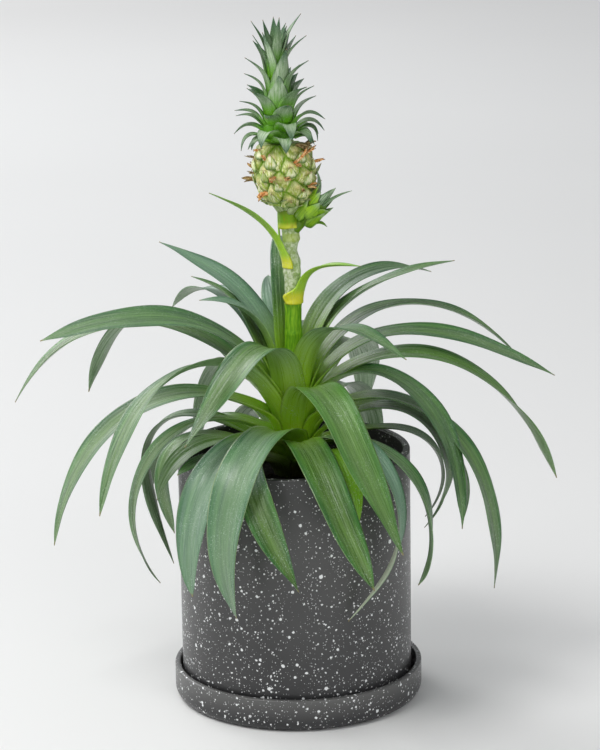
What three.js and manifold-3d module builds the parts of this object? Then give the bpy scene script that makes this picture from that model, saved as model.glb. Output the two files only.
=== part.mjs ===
// A small ornamental pineapple plant in a speckled stoneware pot with a matching saucer.
// Millimetres, +Z up. The origin is the centre of the saucer's underside, -Y is the front.
// Every leaf is one bent blade that clasps the stem, and the fruit, its crown and the slip
// beside it are each one solid raised or grown by formula.
import * as THREE from 'three';
import { mergeVertices } from 'three/addons/utils/BufferGeometryUtils.js';
import Module from 'manifold-3d';

const wasm = await Module();
wasm.setup();

// Driving dimensions
const GAP = 0.3;
const LEAF_GAP = 0.45;
const SIMPLER = 0.14;
const SAUCER = { radius: 75.5, height: 20, wall: 3.5, floor: 5, bottomRadius: 72, corner: 2 };
const POT = { radius: 70, height: 148.5, wall: 4.5, floor: 6, shiftX: -0.8, edge: 1.2 };
const POT_BASE = SAUCER.floor + GAP;
const SOIL_Z = 139;
const ROUND_SIDES = 44;
const GOLDEN_ANGLE = 137.5;

// Stem and stalk by height: the core that the blades start from, and the outside of the
// packed leaf bases round it. The whole plant leans sideways by height.
const STEM = [
  { z: 112, core: 9, radius: 9 },
  { z: 146, core: 11, radius: 12 },
  { z: 164, core: 10.5, radius: 14.5 },
  { z: 184, core: 9, radius: 16 },
  { z: 200, core: 7.5, radius: 12.5 },
  { z: 212, core: 5.8, radius: 8 },
  { z: 224, core: 5.2, radius: 5.4 },
  { z: 240, core: 4.9, radius: 4.9 },
  { z: 262, core: 4.6, radius: 4.6 },
  { z: 284, core: 5, radius: 5 },
  { z: 303, core: 6.5, radius: 6.5 },
];
const LEAN = [
  { z: 270, x: 0 },
  { z: 299, x: -1.4 },
  { z: 342, x: -5.8 },
  { z: 375, x: -8 },
  { z: 412, x: -9.2 },
];
const STEM_SIDES = 16;
const BURIED_RINGS = 3;

// Fruit: a barrel whose eyes are bumps on a golden-angle spiral
const FRUIT = {
  base: 303.3, height: 36, radius: 17.6, sides: 40, rows: 14, eyes: 36, eyeRise: 1.8, eyeReach: 6.4,
};

// Crown: leaves on a golden-angle spiral round a tapering core
const CROWN = {
  base: FRUIT.base + FRUIT.height + GAP, leaves: 42, coreHeight: 46, footRadius: 10.5, coreTip: 3.5,
};

// Slip: a small leafy bud that stands on a neck beside the fruit
const SLIP = {
  azimuth: -25, attachZ: 291, tilt: 44, neck: 7, neckRadius: 3.4, bud: 17, budRadius: 7, leaves: 12,
};

// Leaf blade section
const BLADE = { middle: 1.5, edge: 0.8, spans: 11, baseCup: 0.2, bladeCup: 0.12, seat: 1.1 };

const degrees = (angle) => (angle * Math.PI) / 180;
const mix = (a, b, share) => a + (b - a) * share;
const clamp01 = (x) => Math.min(1, Math.max(0, x));

// Reads one column of a height table
function atHeight(table, z, key) {
  let k = 0;
  while (k < table.length - 2 && z > table[k + 1].z) k += 1;
  const share = clamp01((z - table[k].z) / (table[k + 1].z - table[k].z));
  return mix(table[k][key], table[k + 1][key], share);
}
const coreRadius = (z) => atHeight(STEM, z, 'core');
const leanAt = (z) => atHeight(LEAN, z, 'x');

// Solids: a closed three.js geometry in, a manifold for joining and cutting, a geometry out
function toSolid(geometry) {
  const bare = geometry.clone();
  bare.deleteAttribute('normal');
  bare.deleteAttribute('uv');
  const merged = mergeVertices(bare, 1e-4);
  return new wasm.Manifold(new wasm.Mesh({
    numProp: 3,
    vertProperties: new Float32Array(merged.attributes.position.array),
    triVerts: new Uint32Array(merged.index.array),
  }));
}

function toGeometry(solid) {
  const mesh = solid.getMesh();
  const geometry = new THREE.BufferGeometry();
  geometry.setAttribute('position', new THREE.BufferAttribute(new Float32Array(mesh.vertProperties), 3));
  geometry.setIndex(new THREE.BufferAttribute(new Uint32Array(mesh.triVerts), 1));
  return geometry;
}

function largestPiece(solid) {
  const pieces = solid.decompose();
  return pieces.reduce((best, piece) => (piece.volume() > best.volume() ? piece : best));
}

// A closed skin over rings of points, with a flat fan from each end ring's first point
function loft(rings) {
  const sides = rings[0].length;
  const positions = rings.flat().flatMap((p) => [p.x, p.y, p.z]);
  const index = [];
  for (let r = 0; r < rings.length - 1; r += 1) {
    for (let k = 0; k < sides; k += 1) {
      const a = r * sides + k;
      const b = r * sides + ((k + 1) % sides);
      index.push(a, b, b + sides, a, b + sides, a + sides);
    }
  }
  const last = (rings.length - 1) * sides;
  for (let k = 1; k < sides - 1; k += 1) {
    index.push(0, k + 1, k);
    index.push(last, last + k, last + k + 1);
  }
  const geometry = new THREE.BufferGeometry();
  geometry.setAttribute('position', new THREE.BufferAttribute(new Float32Array(positions), 3));
  geometry.setIndex(index);
  return geometry;
}

function lathe(outline, sides = ROUND_SIDES) {
  const turned = new THREE.LatheGeometry(outline.map(([r, z]) => new THREE.Vector2(r, z)), sides);
  return turned.rotateX(Math.PI / 2);
}

// Materials
const finish = (color, roughness) => new THREE.MeshStandardMaterial({ color, roughness, metalness: 0 });
const MATERIALS = {
  stoneware: finish(0x3a3b3e, 0.55),
  soil: finish(0x120d0a, 0.95),
  stem: finish(0x8aa04a, 0.6),
  leaf: finish(0x4c7a3c, 0.5),
  stalkLeaf: finish(0x6f9a2e, 0.5),
  fruit: finish(0xa9b25a, 0.6),
  crown: finish(0x3f7a55, 0.55),
  slip: finish(0x6fa02c, 0.55),
};

const plant = new THREE.Group();
function addPart(name, geometry, material) {
  const mesh = new THREE.Mesh(geometry, material);
  mesh.name = name;
  plant.add(mesh);
}

// Saucer: a shallow dish with a rounded foot and a wall that the pot stands inside
function saucerGeometry() {
  const { radius, height, wall, floor, bottomRadius, corner } = SAUCER;
  return lathe([
    [0, 0],
    [bottomRadius - corner, 0],
    [bottomRadius, corner * 0.7],
    [radius, height * 0.42],
    [radius, height - 1],
    [radius - 0.9, height],
    [radius - wall + 0.6, height],
    [radius - wall, height - 1],
    [radius - wall, floor + corner],
    [radius - wall - corner, floor],
    [0, floor],
  ]);
}

// Pot: a straight cylinder with softened edges
function potGeometry() {
  const { radius, height, wall, floor, edge } = POT;
  const inner = radius - wall;
  return lathe([
    [0, 0],
    [radius - edge * 1.5, 0],
    [radius, edge * 1.5],
    [radius, height - edge],
    [radius - edge, height],
    [inner + edge, height],
    [inner, height - edge],
    [inner, floor],
    [0, floor],
  ]).translate(POT.shiftX, 0, POT_BASE);
}

// Stem: one column from the root ball to the fruit
function ring(sides, z, radiusAt) {
  return Array.from({ length: sides }, (_, k) => {
    const turn = (k / sides) * Math.PI * 2;
    const radius = radiusAt(turn);
    return new THREE.Vector3(leanAt(z) + radius * Math.cos(turn), radius * Math.sin(turn), z);
  });
}
const stemRings = (extra) => STEM.map(({ z, radius }) => ring(STEM_SIDES, z, () => radius + extra));
const stemSolid = toSolid(loft(stemRings(0)));
const stemCutter = toSolid(loft(stemRings(LEAF_GAP)));

// Soil: a low mound that fills the pot, with the stem's hole
function soilGeometry() {
  const radius = POT.radius - POT.wall - GAP;
  const bottom = POT_BASE + POT.floor + GAP;
  const mound = lathe([
    [0, bottom],
    [radius, bottom],
    [radius, SOIL_Z - 4],
    [radius * 0.8, SOIL_Z - 1.5],
    [radius * 0.45, SOIL_Z],
    [0, SOIL_Z],
  ]).translate(POT.shiftX, 0, 0);
  const hole = toSolid(loft(stemRings(GAP).slice(0, BURIED_RINGS)))
    .subtract(toSolid(lathe([[0, 0], [30, 0], [30, STEM[0].z - 1], [0, STEM[0].z - 1]], 8)));
  return toGeometry(toSolid(mound).subtract(hole));
}

// Blade centre line: it leaves its start at `rise` degrees above level and bends to
// `fall` degrees at its tip. The bend is centred `at` a share of the length, and `soft`
// is how far it spreads. `sweep` turns the blade sideways by its tip, and `midRoll` and
// `tipRoll` are how far it has rolled about its own line half way along and at the tip.
const sigmoid = (x) => 1 / (1 + Math.exp(-x));
function bendShare(s, at, soft) {
  const start = sigmoid(-at / soft);
  const end = sigmoid((1 - at) / soft);
  return (sigmoid((s - at) / soft) - start) / (end - start);
}

function bladeDirection(blade, s) {
  const slope = degrees(mix(blade.rise, blade.fall, bendShare(s, blade.at, blade.soft)));
  const turn = degrees(blade.azimuth + blade.sweep * s);
  return new THREE.Vector3(
    Math.cos(slope) * Math.cos(turn),
    Math.cos(slope) * Math.sin(turn),
    Math.sin(slope),
  );
}

function bladeRoll(blade, s) {
  const { midRoll, tipRoll } = blade;
  return degrees((4 * midRoll - tipRoll) * s + (2 * tipRoll - 4 * midRoll) * s * s);
}

const FINE_STEPS = 12;
function bladeStations(blade, spans) {
  const point = blade.start.clone();
  const step = blade.length / (spans * FINE_STEPS);
  const stations = [];
  for (let i = 0; i <= spans; i += 1) {
    const s = i / spans;
    const turn = degrees(blade.azimuth + blade.sweep * s);
    const level = new THREE.Vector3(-Math.sin(turn), Math.cos(turn), 0);
    const inner = new THREE.Vector3().crossVectors(bladeDirection(blade, s), level);
    const roll = bladeRoll(blade, s);
    const side = level.clone().multiplyScalar(Math.cos(roll)).addScaledVector(inner, Math.sin(roll));
    const up = inner.multiplyScalar(Math.cos(roll)).addScaledVector(level, -Math.sin(roll));
    stations.push({ s, point: point.clone(), side, up });
    for (let k = 0; k < FINE_STEPS && i < spans; k += 1) {
      point.addScaledVector(bladeDirection(blade, s + (k + 0.5) / (spans * FINE_STEPS)), step);
    }
  }
  return stations;
}

// Blade width: broad clasping base, even blade, tapered tip. The older the row, the later the taper
const TIP_WIDTH = 0.05;
const TAPER_START = 0.25;
const NECK = { width: 0.88, end: 0.3 };
const CLASP = { extra: 0.12, end: 0.12 };
const TAPER_POWER = { stalk: 2.2, upper: 2.6, middle: 4, lower: 4.6 };
function widthShare(s, power) {
  const taper = 1 - clamp01((s - TAPER_START) / (1 - TAPER_START)) ** power;
  const neck = mix(NECK.width, 1, clamp01(s / NECK.end));
  const clasp = CLASP.extra * (1 - clamp01(s / CLASP.end)) ** 2;
  return Math.max(TIP_WIDTH, taper * neck + clasp);
}

function bladeRings(leaf, extra) {
  return bladeStations(leaf, BLADE.spans).map(({ s, point, side, up }) => {
    const half = (leaf.width * widthShare(s, leaf.taper)) / 2;
    const cup = 2 * half * mix(BLADE.baseCup, BLADE.bladeCup, clamp01(s / NECK.end));
    const thick = mix(BLADE.middle, BLADE.edge, s) / 2 + extra;
    const thin = BLADE.edge / 2 + extra;
    const at = (across, lift) => point.clone().addScaledVector(side, across).addScaledVector(up, lift);
    return [
      at(0, thick),
      at(-half - extra, cup + thin),
      at(-half - extra, cup - thin),
      at(0, -thick),
      at(half + extra, cup - thin),
      at(half + extra, cup + thin),
    ];
  });
}

// Leaves, from the innermost and highest to the outermost and lowest.
// Columns: name, azimuth, base height, length, width, rise, fall, bend place, bend softness,
// sweep, roll half way, roll at the tip
const LEAF_ROWS = [
  ['upper_leaf_01', 34, 200, 127, 20, 86, -20, 0.35, 0.28, 2, 0, 0],
  ['upper_leaf_02', 308, 192, 113, 22, 87, -22, 0.35, 0.18, 9, 0, 0],
  ['upper_leaf_03', 9, 196, 123, 19, 85, 7, 0.25, 0.25, 0, 0, 8],
  ['upper_leaf_04', 190, 193, 81, 19, 80, -3, 0.7, 0.18, 0, 0, 0],
  ['upper_leaf_05', 64, 190, 80, 17, 64, -30, 0.4, 0.25, 6, 0, 0],
  ['upper_leaf_06', 165, 190, 90, 17, 68, 15, 0.7, 0.12, -5, 0, 0],
  ['upper_leaf_07', 103, 189, 119, 19, 60, 0, 0.35, 0.2, -10, 0, 0],
  ['upper_leaf_08', 145, 188, 130, 21, 84, 16, 0.35, 0.18, 3, 0, 0],
  ['middle_leaf_01', 16, 187, 168, 18, 80, -48, 0.25, 0.33, -3, 3, 8],
  ['middle_leaf_02', 246, 180, 134, 25, 85, -47, 0.36, 0.09, -35, 0, 0],
  ['middle_leaf_03', 5, 184, 170, 20, 68, -28, 0.2, 0.2, -1, 10, 12],
  ['middle_leaf_04', 190, 182, 167, 22, 71, -16, 0.3, 0.22, -1, -17, -24],
  ['middle_leaf_05', 131,181,149,19,74,-38,0.5,0.25,-7,0,0],
  ['middle_leaf_06', 333, 172, 175, 24, 78, -89, 0.22, 0.25, 2, 0, 0],
  ['middle_leaf_07', 358, 180, 194, 22, 56, -68, 0.25, 0.3, 0, 4, -40],
  ['middle_leaf_08', 287, 168, 166, 25, 88, -53, 0.2, 0.11, 28, 0, 0],
  ['middle_leaf_09', 55, 177, 178, 23, 50, -60, 0.3, 0.25, 40, 0, 0],
  ['middle_leaf_10', 139,176,202,21,38,-70,0.62,0.15,3,4,12],
  ['middle_leaf_11', 92, 175, 165, 22, 60, -60, 0.4, 0.25, -5, 0, 0],
  ['middle_leaf_12', 208,172,189,21,72,-71,0.3,0.25,22,20,-5],
  ['middle_leaf_13', 168, 172, 204, 21, 63, -61, 0.53, 0.3, 10, -8, -15],
  ['middle_leaf_14', 185, 170, 189, 21, 40, -79, 0.34, 0.3, 11, -12, -20],
  ['middle_leaf_15', 343, 169, 197, 23, 48, -94, 0.18, 0.3, -2, 0, 10],
  ['middle_leaf_16', 9, 168, 148, 20, 30, -103, 0.5, 0.36, -6, 0, 0],
  ['middle_leaf_17', 115, 166, 170, 22, 50, -80, 0.4, 0.28, 8, 0, 0],
  ['lower_leaf_01', 255, 159, 172, 26, 42, -111, 0.36, 0.26, -34, 0, 0],
  ['lower_leaf_02', 60, 162, 140, 22, 45, -88, 0.4, 0.28, 5, 0, 0],
  ['lower_leaf_03', 345, 160, 150, 16, 44, -128, 0.54, 0.21, -4, 0, 0],
  ['lower_leaf_04', 235, 151, 149, 27, 46, -97, 0.33, 0.25, -16, 0, 0],
  ['lower_leaf_05', 205, 158, 178, 15, 47, -127, 0.44, 0.33, 4, 6, 10],
  ['lower_leaf_06', 150, 157, 126, 20, 23, -75, 0.5, 0.28, -10, 0, 0],
  ['lower_leaf_07', 12, 156, 126, 14, 15, -128, 0.66, 0.16, -12, 0, 0],
  ['lower_leaf_08', 323, 154, 150, 19, 30, -119, 0.54, 0.3, -1, -20, -60],
  ['lower_leaf_09', 75, 154, 145, 20, 40, -95, 0.45, 0.25, -4, 0, 0],
  ['lower_leaf_10', 227, 146, 147, 20, 23, -55, 0.43, 0.09, 109, 25, 0],
  ['lower_leaf_11', 272, 152, 152, 24, 40, -49, 0.29, 0.12, 41, 0, 0],
  ['lower_leaf_12', 178, 152, 169, 14, 34, -110, 0.44, 0.1, -24, 0, 0],
  ['lower_leaf_13', 211, 153, 97, 20, 28, -74, 0.69, 0.23, -10, 0, 0],
  ['lower_leaf_14', 295, 150, 186, 15, 48, -132, 0.39, 0.19, 70, 0, 0],
  ['lower_leaf_15', 110, 151, 140, 20, 36, -95, 0.45, 0.25, 4, 0, 0],
  ['lower_leaf_16', 291, 144, 102, 18, 32, -71, 0.57, 0.09, 8, 0, 0],
  ['lower_leaf_17', 180, 148, 126, 15, 28, -113, 0.55, 0.11, 60, 0, 0],
  ['lower_leaf_18', 204, 145, 78, 15, 24, -12, 0.5, 0.19, 30, 0, 0],
];
const STALK_LEAF_ROWS = [
  ['stalk_leaf_01', 208, 268, 70, 11, 78, 26, 0.24, 0.2, -1, 0, 0],
  ['stalk_leaf_02', 330, 247, 52, 13, 84, 2, 0.3, 0.14, 0, 0, 0],
  ['stalk_leaf_03', 117,198,132,17,89,-40,0.62,0.1,-45,0,0],
  ['stalk_leaf_04', 170,271,30,3,80,89,0.33,0.19,0,0,0],
];
function toLeaf([name, azimuth, base, length, width, rise, fall, at, soft, sweep, midRoll, tipRoll]) {
  const turn = degrees(azimuth);
  const reach = coreRadius(base) + BLADE.seat;
  const taper = TAPER_POWER[name.split('_')[0]];
  const start = new THREE.Vector3(leanAt(base) + reach * Math.cos(turn), reach * Math.sin(turn), base);
  return { name, start, azimuth, length, width, taper, rise, fall, at, soft, sweep, midRoll, tipRoll };
}

// Each blade is cut clear of the stem and of every leaf inside it
function growLeaves(leaves) {
  const cutters = [];
  return leaves.map((leaf) => {
    const whole = toSolid(loft(bladeRings(leaf, 0)));
    const cut = cutters.reduce((blade, cutter) => blade.subtract(cutter), whole.subtract(stemCutter));
    cutters.push(toSolid(loft(bladeRings(leaf, LEAF_GAP))));
    return { name: leaf.name, solid: largestPiece(cut.simplify(SIMPLER)) };
  });
}

// Fruit: each point of the barrel is raised by how near it is to an eye
function fruitRadius(share) {
  return FRUIT.radius * Math.sin(Math.PI * mix(0.13, 0.85, share)) ** 0.45;
}
const EYES = Array.from({ length: FRUIT.eyes }, (_, k) => ({
  turn: degrees(k * GOLDEN_ANGLE),
  z: ((k + 0.5) / FRUIT.eyes) * FRUIT.height,
}));
function eyeLift(turn, z, radius) {
  const nearest = Math.min(...EYES.map((eye) => {
    const apart = Math.abs(((turn - eye.turn) % (2 * Math.PI) + 3 * Math.PI) % (2 * Math.PI) - Math.PI);
    return Math.hypot(apart * radius, z - eye.z);
  }));
  return FRUIT.eyeRise * (1 - clamp01(nearest / FRUIT.eyeReach) ** 2);
}
function fruitRings(extra) {
  return Array.from({ length: FRUIT.rows + 1 }, (_, row) => {
    const share = row / FRUIT.rows;
    const z = share * FRUIT.height;
    const radius = fruitRadius(share);
    return ring(FRUIT.sides, FRUIT.base + z, (turn) => radius + extra + eyeLift(turn, z, radius));
  });
}

const fruitCutter = toSolid(loft(fruitRings(GAP)));

// A thin pointed leaf for the crown and the slip: a three-sided blade
const LEAFLET = { spans: 4, thick: 0.9, cup: 0.15 };
function leafletSolid(leaf) {
  return toSolid(loft(bladeStations(leaf, LEAFLET.spans).map(({ s, point, side, up }) => {
    const half = Math.max(0.4, (leaf.width / 2) * (1 - s ** 1.6));
    const cup = 2 * half * LEAFLET.cup;
    return [
      point.clone().addScaledVector(side, -half).addScaledVector(up, cup),
      point.clone().addScaledVector(up, -LEAFLET.thick),
      point.clone().addScaledVector(side, half).addScaledVector(up, cup),
    ];
  })));
}

// Leaves stand on a golden-angle spiral round a core, from spread at its foot to upright at its top
function spiralHead(core, count, leafAt) {
  const leaves = Array.from({ length: count }, (_, k) => {
    const share = k / (count - 1);
    const azimuth = k * GOLDEN_ANGLE;
    const { reach, z, ...shape } = leafAt(share);
    const turn = degrees(azimuth);
    const start = new THREE.Vector3(reach * Math.cos(turn), reach * Math.sin(turn), z);
    return leafletSolid({ start, azimuth, sweep: 0, midRoll: 0, tipRoll: 0, at: 0.4, soft: 0.25, ...shape });
  });
  return leaves.reduce((head, leaf) => head.add(leaf), core);
}

function crownSolid() {
  const { leaves, coreHeight, footRadius, coreTip, base } = CROWN;
  const outline = [[0, 0], [footRadius, 0], [footRadius, 6], [coreTip, coreHeight], [0, coreHeight]];
  const core = toSolid(lathe(outline, 12));
  const head = spiralHead(core, leaves, (share) => ({
    reach: mix(footRadius - 2, 1.5, share),
    z: mix(3, coreHeight - 2, share ** 1.25),
    length: mix(22, 31, share),
    width: mix(13, 11, share),
    rise: mix(24, 88, share ** 0.55),
    fall: mix(-92, 56, share ** 0.42),
  }));
  const footCut = toSolid(lathe([[0, -40], [footRadius + 3, -40], [footRadius + 3, 0], [0, 0]], 12));
  return head.subtract(footCut).translate([leanAt(base + coreHeight / 2), 0, base]).subtract(fruitCutter);
}

function slipSolid() {
  const { azimuth, attachZ, tilt, neck, neckRadius, bud, budRadius, leaves } = SLIP;
  const core = toSolid(lathe([
    [0, -4],
    [neckRadius, -4],
    [neckRadius, neck * 0.5],
    [budRadius * 0.8, neck],
    [budRadius, neck + bud * 0.35],
    [budRadius * 0.7, neck + bud * 0.8],
    [0, neck + bud],
  ], 12));
  const head = spiralHead(core, leaves, (share) => ({
    reach: mix(budRadius * 0.7, 1.5, share),
    z: neck + mix(1, bud * 0.7, share),
    length: mix(10, 22, share),
    width: mix(8, 6.5, share),
    rise: mix(60, 84, share),
    fall: mix(50, 60, share),
  }));
  const turn = degrees(azimuth);
  const start = coreRadius(attachZ);
  return head
    .rotate([0, tilt, azimuth])
    .translate([leanAt(attachZ) + start * Math.cos(turn), start * Math.sin(turn), attachZ]);
}

addPart('saucer', saucerGeometry(), MATERIALS.stoneware);
addPart('pot', potGeometry(), MATERIALS.stoneware);
addPart('soil', soilGeometry(), MATERIALS.soil);
addPart('stem', toGeometry(stemSolid), MATERIALS.stem);
addPart('fruit', loft(fruitRings(0)), MATERIALS.fruit);
addPart('crown', toGeometry(largestPiece(crownSolid().simplify(SIMPLER))), MATERIALS.crown);
const slip = largestPiece(slipSolid().subtract(stemCutter).subtract(fruitCutter).simplify(SIMPLER));
addPart('slip', toGeometry(slip), MATERIALS.slip);
const stalkNames = new Set(STALK_LEAF_ROWS.map(([name]) => name));
growLeaves([...STALK_LEAF_ROWS, ...LEAF_ROWS].map(toLeaf)).forEach(({ name, solid }) => {
  addPart(name, toGeometry(solid), stalkNames.has(name) ? MATERIALS.stalkLeaf : MATERIALS.leaf);
});

export default plant;
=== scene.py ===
"""A small pineapple plant in fruit, in a speckled stoneware pot that stands in its saucer.

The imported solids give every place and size. This script grows the fine surfaces over them:
blades that clasp the stem, the fruit with its eyes and dry florets, the crown, the slip,
the soil and the turned stoneware. Lengths in the tables are millimetres, the scene is metres.
"""

import math

import bpy
import numpy as np
from mathutils import Matrix, Vector


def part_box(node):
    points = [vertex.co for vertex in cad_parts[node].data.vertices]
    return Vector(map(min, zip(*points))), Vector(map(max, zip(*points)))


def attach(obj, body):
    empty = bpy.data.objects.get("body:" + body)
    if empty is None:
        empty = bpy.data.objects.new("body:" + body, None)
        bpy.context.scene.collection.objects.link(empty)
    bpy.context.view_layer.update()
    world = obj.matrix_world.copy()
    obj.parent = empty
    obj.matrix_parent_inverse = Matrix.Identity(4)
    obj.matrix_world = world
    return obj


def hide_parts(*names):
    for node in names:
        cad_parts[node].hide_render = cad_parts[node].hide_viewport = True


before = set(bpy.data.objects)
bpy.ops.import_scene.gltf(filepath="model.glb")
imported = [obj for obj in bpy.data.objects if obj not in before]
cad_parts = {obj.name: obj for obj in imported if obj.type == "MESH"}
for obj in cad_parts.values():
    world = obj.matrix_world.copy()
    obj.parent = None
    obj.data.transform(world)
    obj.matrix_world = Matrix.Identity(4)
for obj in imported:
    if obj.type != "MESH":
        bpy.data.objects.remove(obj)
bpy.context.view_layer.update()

MM = 0.001
UP = np.array([0.0, 0.0, 1.0])
GOLDEN_ANGLE = 137.5

# Camera: real place and tilt, and the focal length for a 36 mm sensor on the long side
CAMERA = {"y": -1.6242, "z": 0.6201, "pitch": 0.2538, "yaw": 0.0022, "roll": -0.0147, "lens": 134.6}

# Stem and stalk by height, millimetres: the column that the blades clasp
STEM = [
    (112, 9.0), (146, 11.0), (164, 10.5), (184, 9.0), (200, 7.5), (212, 5.8),
    (224, 5.2), (240, 4.9), (262, 4.6), (284, 5.0), (303, 6.5),
]
# Sideways shift of the plant's axis by height: it leans to the left
LEAN = [(270, 0.0), (299, -1.4), (342, -5.8), (375, -8.0), (412, -9.2)]
# Swollen rings of the stalk: height, and how far they stand out
STALK_NODES = [(225, 0.3), (243, 0.5), (262, 0.6), (269, 0.5)]

FRUIT = {"base": 303.3, "height": 36.0, "radius": 17.6, "eyes": 36}
CROWN = {
    "base": 339.6, "height": 46.0, "foot": 10.5, "tip": 3.5, "core": 0.86, "behind": 24, "broad": 1.2,
}
SLIP = {"azimuth": -25, "z": 291, "tilt": 42, "neck": 7, "neck_radius": 3.4, "bud": 17, "radius": 7.8}
BLADE = {"middle": 1.5, "edge": 0.5, "base_cup": 0.2, "cup": 0.14, "seat": 1.1, "taper_start": 0.25}
# The older the row of leaves, the later its blades taper
TAPER_POWER = {"stalk": 2.2, "upper": 2.6, "middle": 4.0, "lower": 4.6}

# Rosette blades. Columns: name, azimuth, base height, length, width, rise, fall, bend place,
# bend softness, sweep, roll half way, roll at the tip
LEAF_ROWS = [
    ("upper_leaf_01", 34, 200, 127, 20, 86, -20, 0.35, 0.28, 2, 0, 0),
    ("upper_leaf_02", 308, 192, 113, 22, 87, -22, 0.35, 0.18, 9, 0, 0),
    ("upper_leaf_03", 9, 196, 123, 19, 85, 7, 0.25, 0.25, 0, 0, 8),
    ("upper_leaf_04", 190, 193, 81, 19, 80, -3, 0.7, 0.18, 0, 0, 0),
    ("upper_leaf_05", 64, 190, 80, 17, 64, -30, 0.4, 0.25, 6, 0, 0),
    ("upper_leaf_06", 165, 190, 90, 17, 68, 15, 0.7, 0.12, -5, 0, 0),
    ("upper_leaf_07", 103, 189, 119, 19, 60, 0, 0.35, 0.2, -10, 0, 0),
    ("upper_leaf_08", 145, 188, 130, 21, 84, 16, 0.35, 0.18, 3, 0, 0),
    ("middle_leaf_01", 16, 187, 168, 18, 80, -48, 0.25, 0.33, -3, 3, 8),
    ("middle_leaf_02", 246, 180, 134, 25, 85, -47, 0.36, 0.09, -35, 0, 0),
    ("middle_leaf_03", 5, 184, 170, 20, 68, -28, 0.2, 0.2, -1, 10, 12),
    ("middle_leaf_04", 190, 182, 167, 22, 71, -16, 0.3, 0.22, -1, -17, -24),
    ("middle_leaf_05", 131, 181, 149, 19, 74, -38, 0.5, 0.25, -7, 0, 0),
    ("middle_leaf_06", 333, 172, 175, 24, 78, -89, 0.22, 0.25, 2, 0, 0),
    ("middle_leaf_07", 358, 180, 194, 22, 56, -68, 0.25, 0.3, 0, 4, -40),
    ("middle_leaf_08", 287, 168, 166, 25, 88, -53, 0.2, 0.11, 28, 0, 0),
    ("middle_leaf_09", 55, 177, 178, 23, 50, -60, 0.3, 0.25, 40, 0, 0),
    ("middle_leaf_10", 139, 176, 202, 21, 38, -70, 0.62, 0.15, 3, 4, 12),
    ("middle_leaf_11", 92, 175, 165, 22, 60, -60, 0.4, 0.25, -5, 0, 0),
    ("middle_leaf_12", 208, 172, 189, 21, 72, -71, 0.3, 0.25, 22, 20, -5),
    ("middle_leaf_13", 168, 172, 204, 21, 63, -61, 0.53, 0.3, 10, -8, -15),
    ("middle_leaf_14", 185, 170, 189, 21, 40, -79, 0.34, 0.3, 11, -12, -20),
    ("middle_leaf_15", 343, 169, 197, 23, 48, -94, 0.18, 0.3, -2, 0, 10),
    ("middle_leaf_16", 9, 168, 148, 20, 30, -103, 0.5, 0.36, -6, 0, 0),
    ("middle_leaf_17", 115, 166, 170, 22, 50, -80, 0.4, 0.28, 8, 0, 0),
    ("lower_leaf_01", 255, 159, 172, 26, 42, -111, 0.36, 0.26, -34, 0, 0),
    ("lower_leaf_02", 60, 162, 140, 22, 45, -88, 0.4, 0.28, 5, 0, 0),
    ("lower_leaf_03", 345, 160, 150, 16, 44, -128, 0.54, 0.21, -4, 0, 0),
    ("lower_leaf_04", 235, 151, 149, 27, 46, -97, 0.33, 0.25, -16, 0, 0),
    ("lower_leaf_05", 205, 158, 178, 15, 47, -127, 0.44, 0.33, 4, 6, 10),
    ("lower_leaf_06", 150, 157, 126, 20, 23, -75, 0.5, 0.28, -10, 0, 0),
    ("lower_leaf_07", 12, 156, 126, 14, 15, -128, 0.66, 0.16, -12, 0, 0),
    ("lower_leaf_08", 323, 154, 150, 19, 30, -119, 0.54, 0.3, -1, -20, -60),
    ("lower_leaf_09", 75, 154, 145, 20, 40, -95, 0.45, 0.25, -4, 0, 0),
    ("lower_leaf_10", 227, 146, 147, 20, 23, -55, 0.43, 0.09, 109, 25, 0),
    ("lower_leaf_11", 272, 152, 152, 24, 40, -49, 0.29, 0.12, 41, 0, 0),
    ("lower_leaf_12", 178, 152, 169, 14, 34, -110, 0.44, 0.1, -24, 0, 0),
    ("lower_leaf_13", 211, 153, 97, 20, 28, -74, 0.69, 0.23, -10, 0, 0),
    ("lower_leaf_14", 295, 150, 186, 15, 48, -132, 0.39, 0.19, 70, 0, 0),
    ("lower_leaf_15", 110, 151, 140, 20, 36, -95, 0.45, 0.25, 4, 0, 0),
    ("lower_leaf_16", 291, 144, 102, 18, 32, -71, 0.57, 0.09, 8, 0, 0),
    ("lower_leaf_17", 180, 148, 126, 15, 28, -113, 0.55, 0.11, 60, 0, 0),
    ("lower_leaf_18", 204, 145, 78, 15, 24, -12, 0.5, 0.19, 30, 0, 0),
]
STALK_LEAF_ROWS = [
    ("stalk_leaf_01", 208, 268, 70, 11, 78, 26, 0.24, 0.2, -1, 0, 0),
    ("stalk_leaf_02", 330, 247, 52, 13, 84, 2, 0.3, 0.14, 0, 0, 0),
    ("stalk_leaf_03", 117, 198, 132, 17, 89, -40, 0.62, 0.1, -45, 0, 0),
    ("stalk_leaf_04", 170, 271, 30, 3, 80, 89, 0.33, 0.19, 0, 0, 0),
]
LEAF_COLUMNS = (
    "name", "azimuth", "base", "length", "width", "rise", "fall", "at", "soft", "sweep",
    "mid_roll", "tip_roll",
)
# How blue and pale a blade is, 0 for the usual green. Blades not named take a small drawn value
# Part of this pale is the blades' own grey bloom and part is painted sheen on blades that face the light
PALE_BLADES = {
    "lower_leaf_10": 1.0, "lower_leaf_01": 0.55, "lower_leaf_04": 0.7, "lower_leaf_08": 0.3,
    "lower_leaf_14": 1.0, "upper_leaf_08": 0.8, "upper_leaf_01": 0.3, "upper_leaf_04": 0.8,
    "middle_leaf_05": 0.8, "middle_leaf_12": 0.2, "upper_leaf_05": 1.0, "upper_leaf_07": 0.8,
}
# The share of its length where a blade stops being pale, where it does
PALE_ENDS = {"lower_leaf_10": 0.6}
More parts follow.
